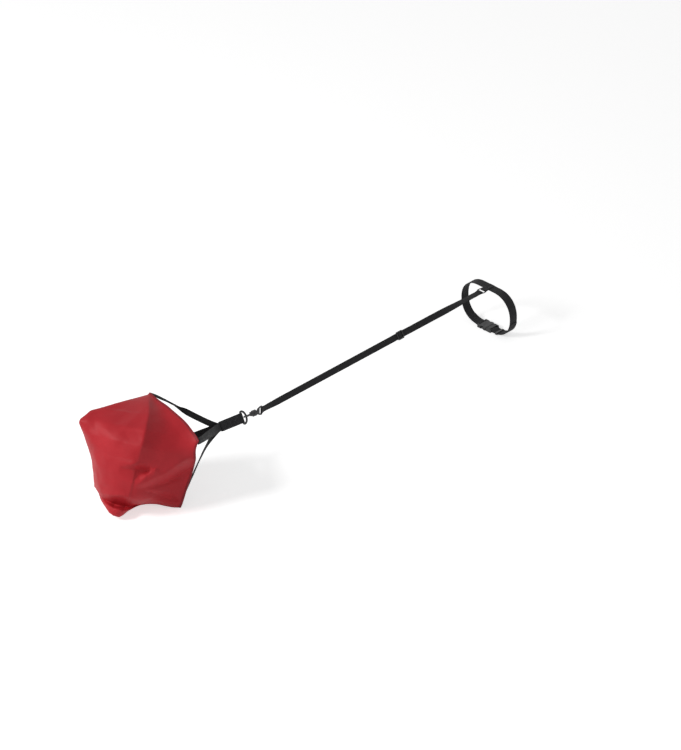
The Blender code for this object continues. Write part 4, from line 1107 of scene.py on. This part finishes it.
def make_legs(surface, sewing):
    """The four legs, from the collar's far layer to its near one."""
    tree = seat_tree()
    top, near, low, far = corner_directions()
    threads = []
    for name, layer, direction, slack in (("leg_far", 3, far, LEG_SLACK),
                                          ("leg_top", 2, top, LEG_SLACK),
                                          ("leg_low", 1, low, LOW_LEG_SLACK),
                                          ("leg_near", 0, near, LEG_SLACK)):
        threads += make_leg(name, layer, direction, slack, tree, surface)
    link("leg_end_stitching", thread_mesh("leg_end_stitching", threads), sewing, "canopy")


# Canopy

def canopy_cage():
    """The coarse cage, as in the part: its rows from the mouth to the back, and the
    point in the back's middle."""
    corners = [direction * MOUTH_DIAGONAL / 2 for direction in corner_directions()]
    backs = [BACK_TOP, BACK_NEAR, BACK_LOW, BACK_FAR]
    rows = []
    for level in range(CANOPY_LEVELS + 1):
        share = level / CANOPY_LEVELS
        belly = math.sin(math.pi * share)
        tucks = (0.0, NEAR_TUCK * belly, LOW_TUCK * belly ** 2, 0.0)
        row = []
        for k in range(4):
            corner = corners[k].lerp(backs[k], share)
            after = corners[(k + 1) % 4].lerp(backs[(k + 1) % 4], share)
            outward = (corners[k] + corners[(k + 1) % 4]).normalized()
            middle = (corner + after) / 2
            middle += outward * (MOUTH_BOW[k] * (1.0 - share) + SIDE_BILLOW[k] * belly)
            row += [corner - corners[k].normalized() * tucks[k], middle]
        rows.append(row)
    centre = sum(backs, Vector()) / 4 + Vector((-BACK_BILLOW, 0.0, 0.0))
    for k in range(4):
        rows[-1][2 * k + 1] += Vector((BACK_BILLOW * BACK_EDGE_PUSH[k], 0.0, 0.0))
    return rows, centre


def canopy_surface(levels):
    """The canopy's outer surface as a smooth open mesh in the mouth's frame."""
    rows, centre = canopy_cage()
    shape = bmesh.new()
    crease_point = shape.verts.layers.float.new("crease_vert")
    crease_edge = shape.edges.layers.float.new("crease_edge")
    grid = [[shape.verts.new(point) for point in row] for row in rows]
    tip = shape.verts.new(centre)
    around = len(rows[0])
    for first, second in zip(grid, grid[1:]):
        for k in range(around):
            beside = (k + 1) % around
            shape.faces.new((first[k], first[beside], second[beside], second[k]))
    last = grid[-1]
    for k in range(4):
        shape.faces.new((last[2 * k - 1], last[2 * k], last[2 * k + 1], tip))
        grid[0][2 * k][crease_point] = 1.0
        last[2 * k][crease_point] = BACK_CREASE[k]
        for first, second in zip(grid, grid[1:]):
            shape.edges.get((first[2 * k], second[2 * k]))[crease_edge] = SEAM_CREASE[k]
    mesh = bpy.data.meshes.new("canopy_cage")
    turn_outwards(shape, mesh)
    holder = bpy.data.objects.new("canopy_cage", mesh)
    bpy.context.scene.collection.objects.link(holder)
    rounding = holder.modifiers.new("soft", "SUBSURF")
    rounding.levels = levels
    rounding.render_levels = levels
    surface = evaluated_mesh(holder)
    bpy.data.objects.remove(holder)
    return surface


def fold_height(spot, folds):
    """How far the cloth stands out at a pixel of the photograph."""
    total = 0.0
    for points, right_hollow, left_hollow in folds:
        best = None
        for first, second in zip(points, points[1:]):
            start = Vector(first[:2])
            run = Vector(second[:2]) - start
            share = min(max((spot - start).dot(run) / run.length_squared, 0.0), 1.0)
            away = spot - start - run * share
            if best is None or away.length < best[0]:
                values = [a + (b - a) * share for a, b in zip(first[2:], second[2:])]
                best = (away.length, run.cross(away) < 0.0, values)
        distance, on_right, (height, right_reach, left_reach) = best
        reach = right_reach if on_right else left_reach
        hollow = right_hollow if on_right else left_hollow
        total += height * max(0.0, 1.0 - distance / reach) ** hollow
    return total


def fold_cloth(mesh, folds, smoothing):
    """Push the side that the photograph shows along its line of sight into folds."""
    mesh.update()
    heights = []
    for point in mesh.vertices:
        facing = smoothstep(*FOLDS_FACE, point.normal.dot(BACK))
        heights.append(fold_height(to_pixel(point.co), folds) * facing)
    near = [[] for _ in heights]
    for edge in mesh.edges:
        a, b = edge.vertices
        near[a].append(b)
        near[b].append(a)
    for _ in range(smoothing):
        heights = [(height + sum(heights[k] for k in around)) / (1 + len(around))
                   for height, around in zip(heights, near)]
    for point, height in zip(mesh.vertices, heights):
        point.co += BACK * height


def crumple_cloth(mesh):
    """Low creases that run from the mouth to the back, with small dents between them."""
    to_mouth = MOUTH.inverted()
    moves = []
    for point in mesh.vertices:
        place = to_mouth @ point.co
        crease = noise(Vector((place.x * CREASE_ALONG, place.y * CREASE_ACROSS,
                               place.z * CREASE_ACROSS)))
        dent = noise(place * DENT_SCALE)
        away = smoothstep(*CREASES_START, -place.x)
        moves.append(point.normal * (crease * CREASE_DEPTH + dent * DENT_DEPTH) * away)
    for point, move in zip(mesh.vertices, moves):
        point.co += move


def pull_outline(mesh):
    """Shift the cloth square to the camera's line of sight, where the outline asks it."""
    for point in mesh.vertices:
        spot = to_pixel(point.co)
        for x, y, right, down, reach in PULLS.values():
            away = (spot - Vector((x, y))).length / reach
            if away < 1.0:
                share = (1.0 - away ** 2) ** 2 / PIXELS_PER_METRE
                point.co += RIGHT * right * share - UP * down * share
                spot = to_pixel(point.co)


def make_canopy(surface):
    """The cloth, creased, folded and pulled to the photograph's outline."""
    mesh = canopy_surface(CANOPY_SUBDIVISIONS)
    mesh.transform(MOUTH)
    crumple_cloth(mesh)
    fold_cloth(mesh, FOLDS.values(), FOLD_SMOOTHING)
    pull_outline(mesh)
    for point in mesh.vertices:
        point.co.z = max(point.co.z, SEAM_ROOM)
    mesh.shade_smooth()
    piece = link("canopy_sheet", mesh, surface, "canopy")
    wall = piece.modifiers.new("wall", "SOLIDIFY")
    wall.thickness = CLOTH_WALL
    wall.offset = -1.0
    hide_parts("canopy_cloth")
    return piece


def cloth_columns(mesh):
    """The cloth's vertices in lines from the mouth to the back, the top corner's first."""
    shape = bmesh.new()
    shape.from_mesh(mesh)
    corner = MOUTH @ (corner_directions()[0] * MOUTH_DIAGONAL / 2)
    first = min((v for v in shape.verts if v.is_boundary), key=lambda v: (v.co - corner).length)
    ring = [first]
    seen = {first}
    while True:
        beside = [e.other_vert(ring[-1]) for e in ring[-1].link_edges if e.is_boundary]
        fresh = [point for point in beside if point not in seen]
        if not fresh:
            break
        ring.append(fresh[0])
        seen.add(fresh[0])
    columns = [[point] for point in ring]
    for _ in range(SEAM_RINGS):
        for column in columns:
            around = [e.other_vert(column[-1]) for e in column[-1].link_edges]
            column.append(next(point for point in around if point not in seen))
        seen.update(column[-1] for column in columns)
    lines = [[(point.co.copy(), point.normal.copy()) for point in column] for column in columns]
    shape.free()
    return lines


def at_depth(column, depth):
    """The point and the normal at a depth below the mouth's edge."""
    for (first, first_out), (second, second_out) in zip(column, column[1:]):
        step = (second - first).length
        if depth <= step:
            share = depth / step
            return first.lerp(second, share), first_out.lerp(second_out, share).normalized()
        depth -= step
    return column[-1]


def hem_outline(column):
    """The tape's outline where it crosses one column of the cloth."""
    outside = [at_depth(column, depth) for depth in spread(HEM_WIDTH, 0.0, HEM_STEPS)]
    lip, lip_out = outside[0]
    edge, edge_out = outside[-1]
    ahead = (edge - outside[-2][0]).normalized()
    inner = -CLOTH_WALL - HEM_TAPE
    ring = [lip + lip_out * HEM_TAPE * HEM_LIP]
    ring += [point + out * HEM_TAPE for point, out in outside]
    ring += [edge + ahead * HEM_TAPE + edge_out * inner / 3]
    ring += [point + out * inner for point, out in reversed(outside)]
    return ring + [lip - lip_out * CLOTH_WALL, lip - lip_out * CLOTH_WALL / 2]


def make_hem(columns, surface):
    """A tape bound round the mouth's edge, outside and inside the cloth."""
    rings = [hem_outline(column) for column in columns]
    size = len(rings[0])
    faces = []
    for k in range(len(rings)):
        here = k * size
        following = (k + 1) % len(rings) * size
        for j in range(size):
            after = (j + 1) % size
            faces.append((here + j, here + after, following + after, following + j))
    mesh = smooth_mesh("canopy_hem", [point for ring in rings for point in ring], faces)
    link("canopy_hem", mesh, surface, "canopy")


def seam_row(columns, k, ring):
    """Points across the seam at a corner's column, with their normals."""
    centre, out = columns[k][ring]
    row = []
    for beside, shares in ((k - 1, (1.0, SEAM_SHOULDER)), (k, (0.0,)),
                           (k + 1, (SEAM_SHOULDER, 1.0))):
        other, other_out = columns[beside % len(columns)][ring]
        for share in shares:
            reach = share * min(1.0, SEAM_HALF_WIDTH / (other - centre).length) if share else 0.0
            row.append((centre.lerp(other, reach), out.lerp(other_out, reach).normalized()))
    return row


def make_seams(columns, surface):
    """Felled seams along three of the corner lines, whose stitches they give back."""
    stitches = []
    for corner in SEWN_CORNERS:
        k = corner * COLUMNS_BETWEEN_CORNERS
        rows = [seam_row(columns, k, ring) for ring in range(SEAM_START, SEAM_RINGS + 1)]
        raised = [[point + out * SEAM_TAPE * SEAM_RISE for point, out in row] for row in rows]
        name = "canopy_seam_" + CORNER_NAMES[corner]
        link(name, strap_mesh(name, raised, SEAM_TAPE), surface, "canopy")
        for shoulder in (1, 3):
            stitches += stitches_along([(point + out * SEAM_TAPE * SEAM_TOP, out)
                                        for point, out in (row[shoulder] for row in rows)])
    return stitches


def hem_stitches(columns):
    """Two rows of stitches round the mouth, outside and inside."""
    stitches = []
    for share in HEM_STITCHING:
        around = [at_depth(column, HEM_WIDTH * share) for column in columns]
        around.append(around[0])
        for off, side in ((HEM_TAPE, 1.0), (-CLOTH_WALL - HEM_TAPE, -1.0)):
            stitches += stitches_along([(point + out * off, out * side) for point, out in around])
    return stitches


def seat_tree():
    """The cloth's faces as the part has them, for laying the leg ends on its inside."""
    mesh = canopy_surface(SEAT_SUBDIVISIONS)
    mesh.transform(MOUTH)
    fold_cloth(mesh, [FOLDS["ridge"]], 0)
    mesh.transform(MOUTH.inverted())
    return BVHTree.FromPolygons([v.co for v in mesh.vertices],
                                [tuple(f.vertices) for f in mesh.polygons])


# Stitching of the webbing

def sew_webbing(surface):
    """The stitching of the collar, the tether's two laps, the tab and the belt's end."""
    half = COLLAR_WIDTH * WIDE_BOX
    lines = [line for ends in COLLAR_BOXES for line in box_with_cross(*ends, half)]
    sew("collar_stitching", lines + bar_tack(COLLAR_TACK_AT, half),
        lambda run, off, across: collar_carry(-run, off, across),
        (face_at(collar_offset, COLLAR_THICKNESS, 1.0),
         face_at(lambda run: -collar_offset(run), COLLAR_THICKNESS, -1.0)), surface, "canopy")
    half = TETHER_WIDTH * NARROW_BOX
    sew("hook_lap_stitching", box_with_cross(*HOOK_BOX, half), tether_carry,
        (face_at(main_offset, TETHER_THICKNESS, 1.0),
         face_at(lambda along: -TETHER_LAYER, TETHER_THICKNESS, -1.0)), surface, "tether")
    sew("slider_lap_stitching", box_with_cross(*SLIDER_BOX, half), tether_carry,
        (face_at(tail_offset, TETHER_THICKNESS, -1.0),), surface, "tether")
    near = BELT_THICKNESS / 2 + GAP + TETHER_THICKNESS
    sew("tab_stitching", box_with_cross(-BELT_WIDTH * WIDE_BOX, BELT_WIDTH * WIDE_BOX, half),
        tab_carry, (lambda x: near, lambda x: -near), surface, "belt")
    line = belt_line()

    def belt_carry(distance, off, across):
        return Vector((across, *belt_point(line, distance, off)))

    sew("belt_end_stitching", box_with_cross(*BELT_END_BOX, BELT_WIDTH * WIDE_BOX), belt_carry,
        (face_at(lambda along: 0.0, BELT_THICKNESS, 1.0),
         face_at(lambda along: -BELT_LAYER, BELT_THICKNESS, -1.0)), surface, "belt")


# Stage and lights

def seen_directly(graph):
    """1 for the camera, and for what mirrors and glass show of the stage."""
    camera = graph.node("ShaderNodeLightPath", output="Is Camera Ray")
    most = camera.math("MAXIMUM", camera.beside("Is Glossy Ray"))
    return most.math("MAXIMUM", camera.beside("Is Transmission Ray"))


def make_floor():
    """A pale floor that looks white to the camera and keeps the object's shadow."""
    pale = Surface("stage_floor")
    pale.put(Base_Color=(*FLOOR_COLOUR, 1.0), Roughness=FLOOR_ROUGHNESS,
             Specular_IOR_Level=FLOOR_GLOSS, Emission_Strength=FLOOR_LIFT,
             Emission_Color=seen_directly(pale))
    mesh = bpy.data.meshes.new("stage_floor")
    corners = [(x * FLOOR_REACH, y * FLOOR_REACH, 0.0)
               for x, y in ((-1, -1), (1, -1), (1, 1), (-1, 1))]
    mesh.from_pydata(corners, [], [(0, 1, 2, 3)])
    floor = bpy.data.objects.new("stage_floor", mesh)
    floor.location.z = -FLOOR_DROP
    mesh.materials.append(pale.material)
    bpy.context.scene.collection.objects.link(floor)


def make_world():
    """White behind the object, and a dimmer light on everything."""
    world = bpy.data.worlds.new("studio")
    bpy.context.scene.world = world
    world.use_nodes = True
    graph = Graph(world.node_tree)
    background = graph.tree.nodes["Background"]
    background.inputs["Strength"].default_value = 1.0
    shade = seen_directly(graph) * (1.0 - WORLD_LIGHT) + WORLD_LIGHT
    graph.join(shade, background.inputs["Color"])


def make_lamp(name, towards, size, power):
    """A soft lamp, whose direction is given to the camera's right, up and back."""
    right, up, back = towards
    away = (RIGHT * right + UP * up + BACK * back).normalized()
    data = bpy.data.lights.new(name, "AREA")
    data.shape = "DISK"
    data.size = size
    data.energy = power
    lamp = bpy.data.objects.new(name, data)
    lamp.location = STAGE_CENTRE + away * LAMP_DISTANCE
    lamp.rotation_euler = away.to_track_quat("Z", "Y").to_euler()
    bpy.context.scene.collection.objects.link(lamp)


def dress_mouldings():
    """New materials on the rigid pieces that the part already has."""
    black = moulding_surface("black_moulding", BLACK_PLASTIC, PLASTIC_ROUGHNESS)
    pin = pin_surface()
    for name in ("dee_ring", "hook_body", "hook_gate", "swivel_eye", "tether_slider", "belt_ring",
                 "buckle_socket", "buckle_plug", "prong_left", "prong_right", "tail_keeper"):
        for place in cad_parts[name].material_slots:
            place.material = black
    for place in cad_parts["gate_pin"].material_slots:
        place.material = pin


bpy.context.scene.view_settings.view_transform = "Standard"
make_camera()
make_floor()
make_world()
make_lamp("key_lamp", KEY_FROM, KEY_SIZE, KEY_POWER)
make_lamp("fill_lamp", FILL_FROM, FILL_SIZE, FILL_POWER)

TETHER_WEB = webbing_surface("tether_webbing", TETHER_WIDTH)
make_belt(webbing_surface("belt_webbing", BELT_WIDTH))
make_ring_tab(TETHER_WEB)
make_tether(TETHER_WEB)
make_collar(webbing_surface("collar_webbing", COLLAR_WIDTH))

NYLON = nylon_surface("red_coated_nylon", NYLON_DARK, NYLON_LIGHT)
CANOPY = make_canopy(NYLON)
COLUMNS = cloth_columns(CANOPY.data)
make_hem(COLUMNS, nylon_surface("red_binding_tape", TAPE_DARK, TAPE_LIGHT))
RED_STITCHES = make_seams(COLUMNS, NYLON) + hem_stitches(COLUMNS)
link("canopy_stitching", thread_mesh("canopy_stitching", RED_STITCHES),
     thread_surface("red_thread", RED_THREAD), "canopy")

BLACK_SEWING = thread_surface("black_thread", BLACK_THREAD)
sew_webbing(BLACK_SEWING)
make_legs(webbing_surface("leg_webbing", LEG_WIDTH), BLACK_SEWING)
dress_mouldings()
